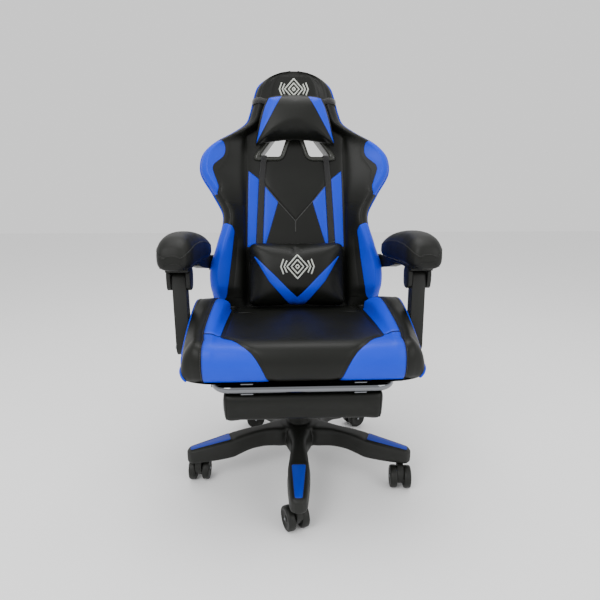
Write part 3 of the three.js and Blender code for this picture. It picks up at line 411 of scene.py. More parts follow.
# A smooth sheet kept as a grid: value(u, v) gives places, with u signed so that it works on both sides of the chair
class Sheet:
    def __init__(self, grid, uMax, vRange):
        self.grid, self.uMax, self.vRange = grid, uMax, vRange

    def at(self, u, v):
        u, v = np.broadcast_arrays(np.asarray(u, float), np.asarray(v, float))
        rows, columns = self.grid.shape[:2]
        r = np.clip((v - self.vRange[0]) / (self.vRange[1] - self.vRange[0]) * (rows - 1), 0, rows - 1.001)
        c = np.clip(np.abs(u) / self.uMax * (columns - 1), 0, columns - 1.001)
        i, j = r.astype(int), c.astype(int)
        a, b = (r - i)[..., None], (c - j)[..., None]
        g = self.grid
        p = (g[i, j] * (1 - a) * (1 - b) + g[i + 1, j] * a * (1 - b) + g[i, j + 1] * (1 - a) * b
             + g[i + 1, j + 1] * a * b)
        p[..., 0] *= np.where(u < 0, -1, 1)
        return p

    def normal(self, u, v):
        du, dv = self.uMax / self.grid.shape[1] * 1.5, (self.vRange[1] - self.vRange[0]) / self.grid.shape[0] * 1.5
        a = self.at(u + du, v) - self.at(u - du, v)
        b = self.at(u, v + dv) - self.at(u, v - dv)
        n = np.cross(a, b)
        n /= np.linalg.norm(n, axis=-1)[..., None] + 1e-9
        return n * self.outward

    outward = 1


# A sewn panel on a sheet: closed slab with its edge tucked under the surface and its middle puffed up
def addPanel(bag, sheet, low, high, v0, v1, puff=1.6, tuck=0.8, columns=26, rows=60, roll=4.5, melt=0):
    lowAt = low if callable(low) else lambda v: low
    highAt = high if callable(high) else lambda v: high
    a = 0.5 - 0.5 * np.cos(np.linspace(0, np.pi, columns))
    b = 0.5 - 0.5 * np.cos(np.linspace(0, np.pi, rows))
    v = v0 + (v1 - v0) * b
    u = np.array([[lowAt(vi) + (highAt(vi) - lowAt(vi)) * ai for ai in a] for vi in v])
    vv = np.repeat(v[:, None], columns, 1)
    p, n = sheet.at(u, vv), sheet.normal(u, vv)
    width = np.linalg.norm(np.diff(p, axis=1), axis=2).sum(1)[:, None] + 1e-6
    length = np.linalg.norm(np.diff(p, axis=0), axis=2).sum(0)[None, :] + 1e-6
    away = np.minimum(np.minimum(a, 1 - a)[None, :] * width, np.minimum(b, 1 - b)[:, None] * length)
    lift = -tuck + (puff + tuck) * (1 - np.exp(-away / roll))
    if melt:
        kept = np.clip((v1 - v) / melt, 0, 1)[:, None]
        lift = 0.06 + (lift - 0.06) * kept * kept * (3 - 2 * kept)
    top, under = p + n * lift[..., None], p - n * (tuck + 0.8)
    under[0], under[-1] = top[0] - n[0] * 0.6, top[-1] - n[-1] * 0.6
    count = rows * columns
    faces = gridFaces(rows, columns)
    faces += [[i + count for i in f][::-1] for f in gridFaces(rows, columns)]
    rim = ([r * columns for r in range(rows)] + [(rows - 1) * columns + c for c in range(1, columns)]
           + [r * columns + columns - 1 for r in range(rows - 2, -1, -1)] + [c for c in range(columns - 2, 0, -1)])
    for k, i in enumerate(rim):
        j = rim[(k + 1) % len(rim)]
        faces.append([i, j, j + count, i + count])
    bag.add(np.concatenate([top.reshape(-1, 3), under.reshape(-1, 3)]), faces)


# Rows of stitches along paths, one small bead of thread each, made by Geometry Nodes
stitch = {"pitch": 5.0, "length": 3.4, "thread": 0.55}


def stitchTree():
    tree = bpy.data.node_groups.new("stitch_row", "GeometryNodeTree")
    tree.interface.new_socket("Geometry", in_out="INPUT", socket_type="NodeSocketGeometry")
    for label, value in (("Pitch", 0.005), ("Length", 0.0034), ("Thread", 0.00055)):
        socket = tree.interface.new_socket(label, in_out="INPUT", socket_type="NodeSocketFloat")
        socket.default_value = value
    tree.interface.new_socket("Material", in_out="INPUT", socket_type="NodeSocketMaterial")
    tree.interface.new_socket("Geometry", in_out="OUTPUT", socket_type="NodeSocketGeometry")
    given = addNode(tree, "NodeGroupInput").outputs
    spots = addNode(tree, "GeometryNodeCurveToPoints", {"mode": "LENGTH"}, Curve=given["Geometry"],
                    Length=given["Pitch"]).outputs
    bead = addNode(tree, "GeometryNodeMeshIcoSphere", None, Radius=0.5, Subdivisions=1)
    turn = addNode(tree, "FunctionNodeAlignRotationToVector", {"axis": "Z"}, Vector=spots["Tangent"])
    wide = addNode(tree, "ShaderNodeMath", {"operation": "MULTIPLY"}, i0=given["Thread"], i1=2.0)
    size = addNode(tree, "ShaderNodeCombineXYZ", None, X=wide.outputs[0], Y=wide.outputs[0], Z=given["Length"])
    placed = addNode(tree, "GeometryNodeInstanceOnPoints", None, Points=spots["Points"],
                     Instance=bead.outputs["Mesh"], Rotation=turn.outputs["Rotation"], Scale=size.outputs["Vector"])
    real = addNode(tree, "GeometryNodeRealizeInstances", None, Geometry=placed.outputs["Instances"])
    dressed = addNode(tree, "GeometryNodeSetMaterial", None, Geometry=real.outputs["Geometry"],
                      Material=given["Material"])
    addNode(tree, "NodeGroupOutput", None, Geometry=dressed.outputs["Geometry"])
    return tree


stitchNodes = stitchTree()


def fromNodes(name, paths, tree, values, material, body):
    data = bpy.data.curves.new(name, "CURVE")
    data.dimensions = "3D"
    for path in paths:
        spline = data.splines.new("POLY")
        spline.points.add(len(path) - 1)
        for point, place in zip(spline.points, toRow(path)):
            point.co = (*place, 1)
    source = bpy.data.objects.new(name + "_path", data)
    bpy.context.scene.collection.objects.link(source)
    modifier = source.modifiers.new("nodes", "NODES")
    modifier.node_group = tree
    for item in tree.interface.items_tree:
        if item.item_type == "SOCKET" and item.in_out == "INPUT" and item.name in values:
            modifier[item.identifier] = values[item.name]
        if item.item_type == "SOCKET" and item.in_out == "INPUT" and item.name == "Material":
            modifier[item.identifier] = material
    made = bpy.data.meshes.new_from_object(source.evaluated_get(bpy.context.evaluated_depsgraph_get()))
    bpy.data.objects.remove(source)
    piece = bpy.data.objects.new(name, made)
    bpy.context.scene.collection.objects.link(piece)
    made.shade_smooth()
    if not made.materials:
        made.materials.append(material)
    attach(piece, body)
    return piece


def addStitches(name, paths, material, body):
    return fromNodes(name, paths, stitchNodes, {"Pitch": stitch["pitch"] / 1000, "Length": stitch["length"] / 1000,
                     "Thread": stitch["thread"] / 1000}, material, body)


# Air blown into a closed pad: remeshed, swelled by Cloth, no point moving further than the cap
def inflate(piece, voxel, pressure, cap, held=None, frames=20):
    remesh = piece.modifiers.new("remesh", "REMESH")
    remesh.mode = "VOXEL"
    remesh.voxel_size = voxel / 1000
    modified(piece)
    data = piece.data
    rest = np.zeros(len(data.vertices) * 3)
    data.vertices.foreach_get("co", rest)
    rest = rest.reshape(-1, 3)
    if held is not None:
        group = piece.vertex_groups.new(name="held")
        group.add([int(i) for i in np.nonzero(held(rest))[0]], 1.0, "REPLACE")
    cloth = piece.modifiers.new("cloth", "CLOTH")
    cloth.settings.quality = 5
    cloth.settings.mass = 0.3
    cloth.settings.tension_stiffness = 12
    cloth.settings.compression_stiffness = 12
    cloth.settings.bending_stiffness = 0.6
    cloth.settings.use_pressure = True
    cloth.settings.uniform_pressure_force = pressure
    cloth.settings.effector_weights.gravity = 0
    cloth.collision_settings.use_collision = False
    if held is not None:
        cloth.settings.vertex_group_mass = "held"
    cloth.point_cache.frame_start = 1
    cloth.point_cache.frame_end = frames
    scene = bpy.context.scene
    for f in range(1, frames + 1):
        scene.frame_set(f)
    swelled = bpy.data.meshes.new_from_object(piece.evaluated_get(bpy.context.evaluated_depsgraph_get()))
    moved = np.zeros(len(swelled.vertices) * 3)
    swelled.vertices.foreach_get("co", moved)
    bpy.data.meshes.remove(swelled)
    step = moved.reshape(-1, 3) - rest
    far = np.linalg.norm(step, axis=1)[:, None]
    step *= np.minimum(1, cap / 1000 / np.maximum(far, 1e-9))
    piece.modifiers.clear()
    data.vertices.foreach_set("co", (rest + step).ravel())
    data.update()
    scene.frame_set(1)
    easing = piece.modifiers.new("ease", "SMOOTH")
    easing.iterations = 4
    easing.factor = 0.5
    finer = piece.modifiers.new("finer", "SUBSURF")
    finer.levels = finer.render_levels = 1
    modified(piece)
    piece.data.shade_smooth()
    return piece


def castTree(piece):
    return BVHTree.FromObject(piece, bpy.context.evaluated_depsgraph_get())



back = {"height": 775, "bottom": 14, "shoulder": 288, "panel": 20, "rear": 36, "crest": 84, "plateInner": 242}


def backHalfWidth(s):
    w, h = back["shoulder"], back["height"]
    return smooth([[back["bottom"], w - 44], [101, w - 28], [163, w - 29], [225, w - 47], [314, w - 67],
                   [380, w - 38], [438, w - 4], [h - 302, w], [h - 267, w - 10], [h - 232, w - 43], [h - 198, w - 98],
                   [h - 167, w - 137], [h - 132, w - 151], [h - 78, w - 164], [h - 43, w - 177], [h - 19, w - 203],
                   [h - 6, w - 238], [h, w - 272]], s)


def wingCrest(s):
    c, h = back["crest"], back["height"]
    return smooth([[back["bottom"], c - 46], [70, c - 22], [101, c - 2], [202, c], [333, c - 6], [h - 310, c - 10],
                   [h - 248, c - 20], [h - 178, c - 38], [h - 124, c - 47], [h - 54, c - 53], [h, c - 62]], s)


def backSection(s):
    w, crest, h = backHalfWidth(s), wingCrest(s), back["height"]
    n = min(1, w / 130)
    panel = max(min(146, w - 58 * n), 6)
    low = max(0, min(1, (0.30 * h - s) / 14))
    side = w + (min(w, back["plateInner"] - 2.2) - w) * low
    rim = (crest - 34) * (1 - low) + 42 * low
    rear = back["rear"] * (1 - 0.5 * max(0, (s - 0.93 * h) / (0.07 * h)) ** 2)
    front = min(back["panel"], crest - 4)
    return [[0, front], [panel * 0.5, front], [panel, front],
            [panel + (w - panel) * 0.22, front + (crest - front) * 0.35],
            [w - 34 * n, crest - 4], [w - 22 * n, crest], [w - 8 * n, crest - 10], [w, max(rim, crest - 30, -10)],
            [side - 3 * (1 - low), 30 * low + 4 * (1 - low)], [side - 10 * n, -rear * 0.62], [side - 36 * n, -rear],
            [(side - 36 * n) * 0.5, -rear - 1.5], [0, -rear - 2]]


backLevels = np.concatenate([np.linspace(back["bottom"], 700, 138),
                             700 + 75 * np.sin(np.linspace(0.06, 1, 30) * np.pi / 2)])
backRows = []
for level in backLevels:
    half = through(backSection(level), 6)
    backRows.append(onBack(half[:, 0], half[:, 1], level))
backGrid = np.array(backRows)


class BackSheet(Sheet):
    outward = 1

    def at(self, u, v):
        return super().at(u, np.interp(v, backLevels, np.arange(len(backLevels))))


backSheet = BackSheet(backGrid, 12, (0, len(backLevels) - 1))


def backNormal(u, v):
    du, dv = 0.1, 3.0
    a = backSheet.at(np.asarray(u) + du, v) - backSheet.at(np.asarray(u) - du, v)
    b = backSheet.at(u, np.asarray(v) + dv) - backSheet.at(u, np.asarray(v) - dv)
    n = np.cross(b, a)
    n /= np.linalg.norm(n, axis=-1)[..., None] + 1e-9
    return n * np.array([-1, -1, -1])


# Half sections of the back that backU has already worked out, by height
halves = {}


# Which u on the sheet lies at a given x of the front face, at height s
def backU(x, s):
    place = round(float(s), 1)
    if place not in halves:
        halves[place] = through(backSection(place), 6)
    half = halves[place]
    crestAt = 5 * 6
    return float(np.interp(abs(x), half[:crestAt + 4, 0], np.arange(crestAt + 4) / 6)) * (1 if x >= 0 else -1)


backSheet.normal = backNormal
rings = np.concatenate([backGrid, (backGrid * [-1, 1, 1])[:, -2:0:-1]], 1)
bag = Bag()
addLoft(bag, rings)
backShell = bag.piece("back_upholstery", blackLeather, "backrest", "leather_black")

holes = {"corners": [[46, 506], [111, 506], [52, 585], [19, 585]], "rounds": [9, 15, 10, 9], "wall": 3.6,
         "flange": 14}


def grown(corners, distance):
    edges = []
    for i, (x, y) in enumerate(corners):
        a, b = corners[(i + 1) % len(corners)]
        length = math.hypot(a - x, b - y)
        n = ((b - y) / length, (x - a) / length)
        edges.append((n, n[0] * x + n[1] * y + distance))
    found = []
    for i in range(len(corners)):
        (e, d0), (f, d1) = edges[i - 1], edges[i]
        det = e[0] * f[1] - e[1] * f[0]
        found.append([(d0 * f[1] - d1 * e[1]) / det, (e[0] * d1 - f[0] * d0) / det])
    return found


def rounded(corners, radius, steps=7):
    found = []
    c = [np.array(p[:2], float) for p in corners]
    for i, here in enumerate(c):
        before, after = c[i - 1] - here, c[(i + 1) % len(c)] - here
        own = corners[i][2] if len(corners[i]) > 2 else radius
        r = min(own, np.linalg.norm(before) * 0.47, np.linalg.norm(after) * 0.47)
        a = here + before / np.linalg.norm(before) * r
        b = here + after / np.linalg.norm(after) * r
        for k in range(steps + 1):
            u = k / steps
            found.append((1 - u) ** 2 * a + 2 * u * (1 - u) * here + u * u * b)
    return np.array(found)


# The rim of a harness hole, out from its edge; the lower outer corner is the roundest
def holeRing(out):
    corners = grown(holes["corners"], out)
    return rounded([[*place, own + out] for place, own in zip(corners, holes["rounds"])], 9, 9)


for sign in (1, -1):
    ring = holeRing(holes["wall"] + 0.4)
    cutter = Bag()
    addLoft(cutter, [onBack(ring[:, 0] * sign, t, ring[:, 1]) for t in (-110, 110)])
    tool = cutter.piece("hole_cutter", blackLeather, "backrest")
    trim = backShell.modifiers.new("hole", "BOOLEAN")
    trim.operation, trim.solver, trim.object = "DIFFERENCE", "EXACT", tool
    modified(backShell)
    bpy.data.objects.remove(tool)
backShell.data.shade_smooth()
backShell.data.set_sharp_from_angle(angle=math.radians(50))
settle(backShell, "back_shell")
print("back shell made")

# Sewn panels of the backrest, as places x at heights s for the sitter's left; both sides are made from them
panels = {
    "outerStrip": {"in": [[222, 123], [229, 123], [436, 112], [462, 145]],
                   "out": [[222, 151.5], [229, 151], [462, 146]]},
    "innerStrip": {"in": [[222, 93], [234, 92], [364, 53], [414, 94]], "out": [[222, 104], [234, 104], [414, 95.5]]},
    "shoulder": {"in": [[375, 238], [385, 234], [405, 231], [455, 246], [470, 241], [497, 215], [520, 209],
                        [538, 215],
                        [545, 226]]},
    "bolster": {"in": [[40, 240], [56, 222], [72, 210], [160, 197], [246, 187], [268, 185], [281, 191], [290, 208]]},
}
blueBack, blackBack = Bag(), Bag()
seams = []


def keyed(keys, s):
    return float(np.interp(s, [k[0] for k in keys], [k[1] for k in keys]))


for sign in (1, -1):
    for name in ("outerStrip", "innerStrip"):
        k = panels[name]
        low = lambda s, k=k: backU(sign * keyed(k["in"], s), s)
        high = lambda s, k=k: backU(sign * keyed(k["out"], s), s)
        addPanel(blueBack, backSheet, low, high, k["in"][0][0], k["in"][-1][0], puff=1.8)
        for edge in ("in", "out"):
            s = np.linspace(k[edge][0][0] + 2, k[edge][-1][0] - 2, 60)
            u = [backU(sign * keyed(k[edge], si), si) for si in s]
            seams.append((np.array(u), s))
    k = panels["shoulder"]
    addPanel(blueBack, backSheet, lambda s, k=k: backU(sign * smooth(k["in"], s), s), sign * 6.9, 376, 545, puff=2.2,
             rows=80, columns=34)
    k = panels["bolster"]
    addPanel(blueBack, backSheet, lambda s, k=k: backU(sign * smooth(k["in"], s), s), sign * 6.9, 40, 290, puff=2.6,
             rows=80, columns=34)
    # black leather between the centre and the wing, its lower edge sewn across at the waist
    addPanel(blackBack, backSheet, lambda s: backU(sign * (154 - 0.03 * (s - 290)), s),
             lambda s: backU(sign * np.interp(s, [355, 376, 400, 455, 500, 540, 580, 640],
                                              [217, 226, 226, 237, 210, 205, 190, 135]), s),
             354, 590, puff=1.4, rows=70, columns=30)
    addPanel(blackBack, backSheet, lambda s: backU(sign * 155, s),
             lambda s: backU(sign * np.interp(s, [60, 160, 246, 285, 350], [200, 188, 180, 196, 214]), s),
             62, 351, puff=1.2, rows=70, columns=24)
# upper centre panel, pointed at its foot
addPanel(blackBack, backSheet, lambda s: backU(-np.interp(s, [303, 310, 364, 414, 455], [1, 5, 52, 93, 108]), s),
         lambda s: backU(np.interp(s, [303, 310, 364, 414, 455], [1, 5, 52, 93, 108]), s), 303, 484, puff=3.2,
         tuck=1.6,
         rows=90, columns=60, roll=6, melt=96)
# Painted shade: a thin raised bar in the black thread material runs along the V fold of the upper centre panel and
# down the centre below its foot, a dark line standing in for the shade in the fold
fold = np.array([[-92, 412], [-52, 363], [-4, 309], [0, 303], [4, 309], [52, 363], [92, 412]])
foldX = np.interp(np.linspace(0, 6, 90), np.arange(7), fold[:, 0])
foldS = np.interp(np.linspace(0, 6, 90), np.arange(7), fold[:, 1])
centreFoldShade = Bag()
foldLift = (onBack(0, 1, 0) - onBack(0, 0, 0)) * 0.1
addBar(centreFoldShade, backSheet.at([backU(x, q) for x, q in zip(foldX, foldS)], foldS) + foldLift, 1.3, corners=6)
addBar(centreFoldShade, backSheet.at(np.zeros(12), np.linspace(303, 270, 12)) + foldLift, 1.3, corners=6)
settle(centreFoldShade.piece("back_centre_fold_painted_shade", blackThread, "backrest", "leather_black"))
settle(blueBack.piece("back_blue_panels", blueLeather, "backrest", "leather_blue"))
settle(blackBack.piece("back_black_panels", blackLeather, "backrest", "leather_black"))

# Piping along the outer edge, over the head and down the other side
edgeS = np.concatenate([np.linspace(30, 700, 150), 700 + 74 * np.sin(np.linspace(0.05, 0.985, 26) * np.pi / 2)])
rim = backSheet.at(np.full(len(edgeS), 6.95), edgeS) + backNormal(np.full(len(edgeS), 6.95), edgeS) * 1.2
rim[:, 0] -= np.interp(edgeS, [300, 345], [2.6, 0])
piping = Bag()
addBar(piping, np.concatenate([rim, (rim * [-1, 1, 1])[::-1]]), 2.9, corners=10)
settle(piping.piece("back_piping", blueLeather, "backrest", "leather_blue"))
rows = [backSheet.at(u, s) + backNormal(u, s) * 0.9 for u, s in seams]
inner = np.linspace(70, 700, 140)
for sign in (1, -1):
    rows.append(backSheet.at(np.full(140, sign * 6.45), inner) + backNormal(np.full(140, sign * 6.45), inner) * 2.0)
addStitches("back_stitches", rows, blueThread, "backrest")
print("back panels sewn")

# Bezels of the harness holes: a smooth rolled lip with a short tube through the back
bezel = Bag()
for sign in (1, -1):
    profile = [(-0.2, -34), (-0.2, 16), (0, 21), (1.2, 24.6), (3.6, 27), (7, 27.9), (10.4, 27), (12.8, 24.6),
               (holes["flange"], 21.6), (holes["flange"] - 0.5, 20.4), (4.2, 20.4), (3.6, 18),
               (3.6, -36.2), (7.5, -37.4), (9, -39), (6, -40.6), (1.4, -40.2)]
    rings = []
    for out, t in profile:
        ring = holeRing(out)
        rings.append(onBack(ring[:, 0] * sign, t, ring[:, 1]))
    rings.append(rings[0])
    bezel.add(np.array(rings), gridFaces(len(rings), len(rings[0]), True, False))
settle(bezel.piece("hole_bezels", trimNylon, "backrest", "trim_grey"), "hole_bezel_left", "hole_bezel_right")


pillows = {"back": 26.4, "head": {"thick": 60, "cap": 9}, "lumbar": {"thick": 72, "cap": 10}}


def pillowBody(outline, backT, thick, name):
    middle = outline.mean(0)
    layers = [(0, 0.80), (0.06, 0.90), (0.2, 0.965), (0.42, 0.985), (0.6, 0.965), (0.78, 0.90), (0.9, 0.78),
              (0.97, 0.6), (1, 0.35)]
    made = Bag()
    addLoft(made, [onBack(*(lambda q: (q[:, 0], backT + d * thick, q[:, 1]))((outline - middle) * share + middle))
                   for d, share in layers])
    return made.piece(name, blackLeather, "backrest", "leather_black")


headOutline = np.concatenate([
    through([[-126, 526], [-94, 540], [-46, 549], [0, 551], [46, 549], [94, 540], [126, 526]], 6)[:-1],
    through([[126, 526], [117, 577], [104, 632], [87, 675]], 6)[:-1],
    through([[87, 675], [62, 682], [0, 685], [-62, 682], [-87, 675]], 6)[:-1],
    through([[-87, 675], [-104, 632], [-117, 577], [-126, 526]], 6)[:-1]])
headPillow = pillowBody(headOutline, pillows["back"], pillows["head"]["thick"], "head_cushion")
lumbarOutline = rounded([[-150, 38, 20], [150, 38, 20], [147, 233, 22], [-147, 233, 22]], 22, 9)
lumbarPillow = pillowBody(lumbarOutline, pillows["back"], pillows["lumbar"]["thick"], "lumbar_cushion")
backPlane = onBack(0, pillows["back"] + 3, 0) / 1000
backPlane[1] += swivelY
ahead = (onBack(0, 1, 0) - onBack(0, 0, 0))


def restsOnBack(points):
    return (points - backPlane) @ ahead < 0


inflate(headPillow, 5, 4, pillows["head"]["cap"], restsOnBack)
inflate(lumbarPillow, 5, 4, pillows["lumbar"]["cap"], restsOnBack)
print("pillows filled")


# Places on the front of a pillow, found by looking at it along the backrest's own forward direction
class Cast:
    def __init__(self, piece, far=220):
        self.tree, self.far = castTree(piece), far

    def at(self, x, s):
        x, s = np.broadcast_arrays(np.asarray(x, float), np.asarray(s, float))
        found = np.zeros(x.shape + (3,))
        lean = np.zeros(x.shape + (3,))
        towards = Vector(-ahead)
        for i in np.ndindex(x.shape):
            start = toRow(onBack(x[i], self.far, s[i]))
            hit, normal, _, _ = self.tree.ray_cast(Vector(start), towards)
            if hit is None:
                hit, normal, _, _ = self.tree.find_nearest(Vector(toRow(onBack(x[i], 60, s[i]))))
            found[i] = np.array(hit) * 1000 - [0, swivelY * 1000, 0]
            lean[i] = np.array(normal)
        self.lean = lean
        return found

    # How the pillow leans at the places last looked for
    def normal(self, x, s):
        return self.lean


# A bent band on a pillow's face: u goes across it, from its inner edge to its outer one, and v along it
class Band:
    def __init__(self, face, inner, outer):
        self.face, self.inner, self.outer = face, np.array(inner, float), np.array(outer, float)

    def at(self, u, v):
        v = v * (len(self.inner) - 1)
        steps = np.arange(len(self.inner))
        x, s = [np.interp(v, steps, self.inner[:, k]) * (1 - u) + np.interp(v, steps, self.outer[:, k]) * u
                for k in (0, 1)]
        return self.face.at(x, s)

    def normal(self, u, v):
        return self.face.lean


headFace, lumbarFace = Cast(headPillow), Cast(lumbarPillow)
blueHead, blueLumbar = Bag(), Bag()
for sign in (1, -1):
    wedge = Band(headFace, [(sign * x, s) for x, s in ((118, 531), (100, 560), (77, 600), (55, 640), (36, 674))],
                 [(sign * x, s) for x, s in ((120, 532), (113, 563), (104, 602), (93, 642), (80, 669))])
    addPanel(blueHead, wedge, 0, 1, 0, 1, puff=1.2, tuck=1.0, rows=44, columns=18)
chevron = Band(lumbarFace, [(-125, 190), (-66, 133), (-14, 79), (0, 66), (14, 79), (66, 133), (125, 190)],
               [(-131, 189), (-84, 110), (-25, 43), (0, 42), (25, 43), (84, 110), (131, 189)])
addPanel(blueLumbar, chevron, 0, 1, 0, 1, puff=1.4, tuck=1.0, rows=110, columns=22)
settle(blueHead.piece("head_cushion_blue", blueLeather, "backrest", "leather_blue"))
settle(blueLumbar.piece("lumbar_cushion_blue", blueLeather, "backrest", "leather_blue"))

# A plain nested lozenge with short bars beside it, embroidered on the lumbar pillow and on the head of the back
emblem = {"halfWide": 50, "halfTall": 37, "stroke": 2.2, "raise": 1.1}


def emblemPaths(cx, cs, share=1.0):
    w, h = emblem["halfWide"] * share, emblem["halfTall"] * share
    paths = []
    for k in (0.62, 0.36):
        paths.append([(cx, cs + h * k * 1.55), (cx + w * k, cs), (cx, cs - h * k * 1.55), (cx - w * k, cs),
                      (cx, cs + h * k * 1.55)])
    for side in (1, -1):
        for k in (0.78, 0.98):
            paths.append([(cx + side * w * (k - 0.16), cs + h * 0.62 * k), (cx + side * w * k, cs),
                          (cx + side * w * (k - 0.16), cs - h * 0.62 * k)])
    paths.append([(cx, cs + h * 0.17), (cx + w * 0.11, cs), (cx, cs - h * 0.17), (cx - w * 0.11, cs),
                  (cx, cs + h * 0.17)])
    return paths


def embroider(bag, face, paths):
    for path in paths:
        dense = []
        for (a, b), (c, d) in zip(path, path[1:]):
            count = max(3, int(math.hypot(c - a, d - b) / 2.5))
            dense += [(a + (c - a) * k / count, b + (d - b) * k / count) for k in range(count)]
        dense.append(path[-1])
        q = np.array(dense)
        p = face.at(q[:, 0], q[:, 1])
        n = face.normal(q[:, 0], q[:, 1])
        addBar(bag, p + n * 0.35, emblem["stroke"], emblem["raise"], corners=8, hint=n)


class BackFace:
    def at(self, x, s):
        self.u = np.array([backU(float(a), float(b)) for a, b in zip(np.ravel(x), np.ravel(s))]).reshape(np.shape(x))
        return backSheet.at(self.u, s)

    def normal(self, x, s):
        self.at(x, s)
        return backNormal(self.u, s)


threadWork = Bag()
embroider(threadWork, BackFace(), emblemPaths(-1, 718, 0.92))
embroider(threadWork, lumbarFace, emblemPaths(1, 155, 1.0))
settle(threadWork.piece("silver_embroidery", silverThread, "backrest", "trim_grey"))


# The welt that closes a pillow runs round it where it is widest
def weltPath(piece, outline, t):
    tree = castTree(piece)
    middle = outline.mean(0)
    found = []
    for x, s in outline:
        out = np.array([x - middle[0], s - middle[1]])
        out = out / np.linalg.norm(out)
        start = toRow(onBack(x + out[0] * 60, t, s + out[1] * 60))
        towards = toRow(onBack(middle[0], t, middle[1])) - start
        hit = tree.ray_cast(Vector(start), Vector(towards / np.linalg.norm(towards)))[0]
        if hit is not None:
            found.append(np.array(hit) * 1000 - [0, swivelY * 1000, 0])
    return np.array(found)


def evenly(path, step, closed=True):
    path = np.asarray(path, float)
    if closed:
        path = np.concatenate([path, path[:1]])
    far = np.concatenate([[0], np.cumsum(np.linalg.norm(np.diff(path, axis=0), axis=1))])
    count = max(4, int(far[-1] / step))
    spots = np.linspace(0, far[-1], count, endpoint=not closed)
    return np.stack([np.interp(spots, far, path[:, k]) for k in range(3)], 1)


welts = Bag()
for piece, line, t in ((headPillow, headOutline, 50), (lumbarPillow, lumbarOutline, 52)):
    ring = weltPath(piece, line, t)
    addBar(welts, evenly(ring, 5), 1.5, corners=8, closed=True, hint=ahead)
settle(welts.piece("pillow_welts", blackLeather, "backrest", "leather_black"))
settle(headPillow, "head_pillow")
settle(lumbarPillow, "lumbar_pillow")

# Flat straps
straps = {"wide": 17, "thick": 1.8}


def addStrap(bag, path, across, wide=None, thick=None):
    path = through(path, 5)
    path = evenly(path, 4, False)
    across = np.asarray(across, float)
    w, h = (wide or straps["wide"]) / 2, (thick or straps["thick"]) / 2
    along = np.gradient(path, axis=0)
    along /= np.linalg.norm(along, axis=1)[:, None]
    over = np.cross(across, along)
    over /= np.linalg.norm(over, axis=1)[:, None]
    side = np.cross(along, over)
    corners = [(-w, 0), (-w + 0.6, h), (w - 0.6, h), (w, 0), (w - 0.6, -h), (-w + 0.6, -h)]
    addLoft(bag, path[:, None] + side[:, None] * np.array([c[0] for c in corners])[None, :, None]
            + over[:, None] * np.array([c[1] for c in corners])[None, :, None])


webs = Bag()
for sign in (1, -1):
    route = [(113, 21.8, 205), (111, 22.0, 280), (107, 22.2, 360), (103, 22.6, 440), (99, 25, 478), (97.5, 29.4, 492),
             (97, 28.6, 503), (96.5, 22, 509), (96, 0, 513), (95, -30, 513), (94, -39.5, 510), (94, -42.5, 500),
             (95, -41, 440), (97, -40, 385)]
    addStrap(webs, [onBack(sign * x, t, s) for x, t, s in route], (1, 0, 0))
head = [(82, 34, 671), (95, 34.5, 674), (109, 37, 676), (124, 27, 677), (132, 6, 677), (129, -12, 677),
        (122, -27, 677),
        (98, -40, 677), (60, -41, 677)]
loop = [onBack(x, t, s) for x, t, s in head] + [onBack(0, -41.5, 677)] + [onBack(-x, t, s) for x, t, s in head[::-1]]
addStrap(webs, loop, onBack(0, 0, 1) - onBack(0, 0, 0), 18, 1.4)
settle(webs.piece("straps", strapWeb, "backrest", "webbing_black"),
       "lumbar_strap_left", "lumbar_strap_right", "head_strap")
print("straps threaded")


seat = {"half": 283, "low": 375.6, "top": 464.6, "dish": 17, "rise": 43, "knee": -236, "rear": 150}
rollPath = [(0, 1), (-17, 0.988), (-33, 0.93), (-44, 0.82), (-51, 0.66), (-54, 0.5), (-53, 0.32), (-48, 0.15),
            (-38, 0.03),
            (-30, 0.0)]


def seatTop(y):
    return seat["top"] - seat["dish"] * smooth([[-250, 0], [150, 1]], y)


def seatHalf(y):
    w = seat["half"]
    return smooth([[-284, w - 45], [-265, w - 17], [-230, w - 4], [-180, w], [-90, w - 4], [0, w - 9],
                   [95, w - 14]], y)


def seatSection(y):
    w, base = seatHalf(y), seat["top"]
    crest = base + seat["rise"] * smooth([[-284, -0.3], [-250, -0.03], [-180, 0.25], [-90, 0.72], [-15, 1],
                                          [45, 0.76], [95, 0.4]], y)
    edge = base + smooth([[-284, -84], [-230, -62], [-180, -38], [-90, 11], [-15, 36], [40, 26], [95, 6]], y)
    low = seat["low"]
    edge = max(edge, low + 2)
    centre = seatTop(y)
    return [[0, centre + 1], [94, centre + 0.5], [188, centre - 1.5],
            [w - 70, crest * 0.72 + centre * 0.28], [w - 50, crest - 1], [w - 30, crest - 1],
            [w - 10, edge + (crest - edge) * 0.6], [w, edge], [w - 2, (low + edge) / 2 + 2],
            [w - 12, low]]


topRows = [(y, through(seatSection(y), 6)) for y in np.concatenate([np.linspace(96, seat["knee"], 90)])]
seatRows = [np.stack([h[:, 0], np.full(len(h), y), h[:, 1]], 1) for y, h in topRows]
kneeRow = seatRows[-1]
rollCurve = through(rollPath, 5)
uOf = np.arange(len(kneeRow)) / 6
plan = np.interp(uOf, [0, 3, 4, 5, 6, 7, 9], [1, 1, 0.97, 0.86, 0.7, 0.55, 0.4])
for step, rise in rollCurve[1:]:
    row = kneeRow.copy()
    row[:, 1] += step * plan
    row[:, 2] = seat["low"] + (kneeRow[:, 2] - seat["low"]) * rise
    row[:, 0] -= np.interp(uOf, [0, 3, 5, 7, 9], [0, 0, 5, 13, 9]) * (1 - rise) ** 1.3
    seatRows.append(row)
seatGrid = np.array(seatRows)
seatSheet = Sheet(seatGrid, 9, (0, len(seatGrid) - 1))
seatSheet.outward = -1
kneeV = 89
lastV = len(seatGrid) - 1


def seatV(y):
    return (96 - y) / (96 - seat["knee"]) * kneeV


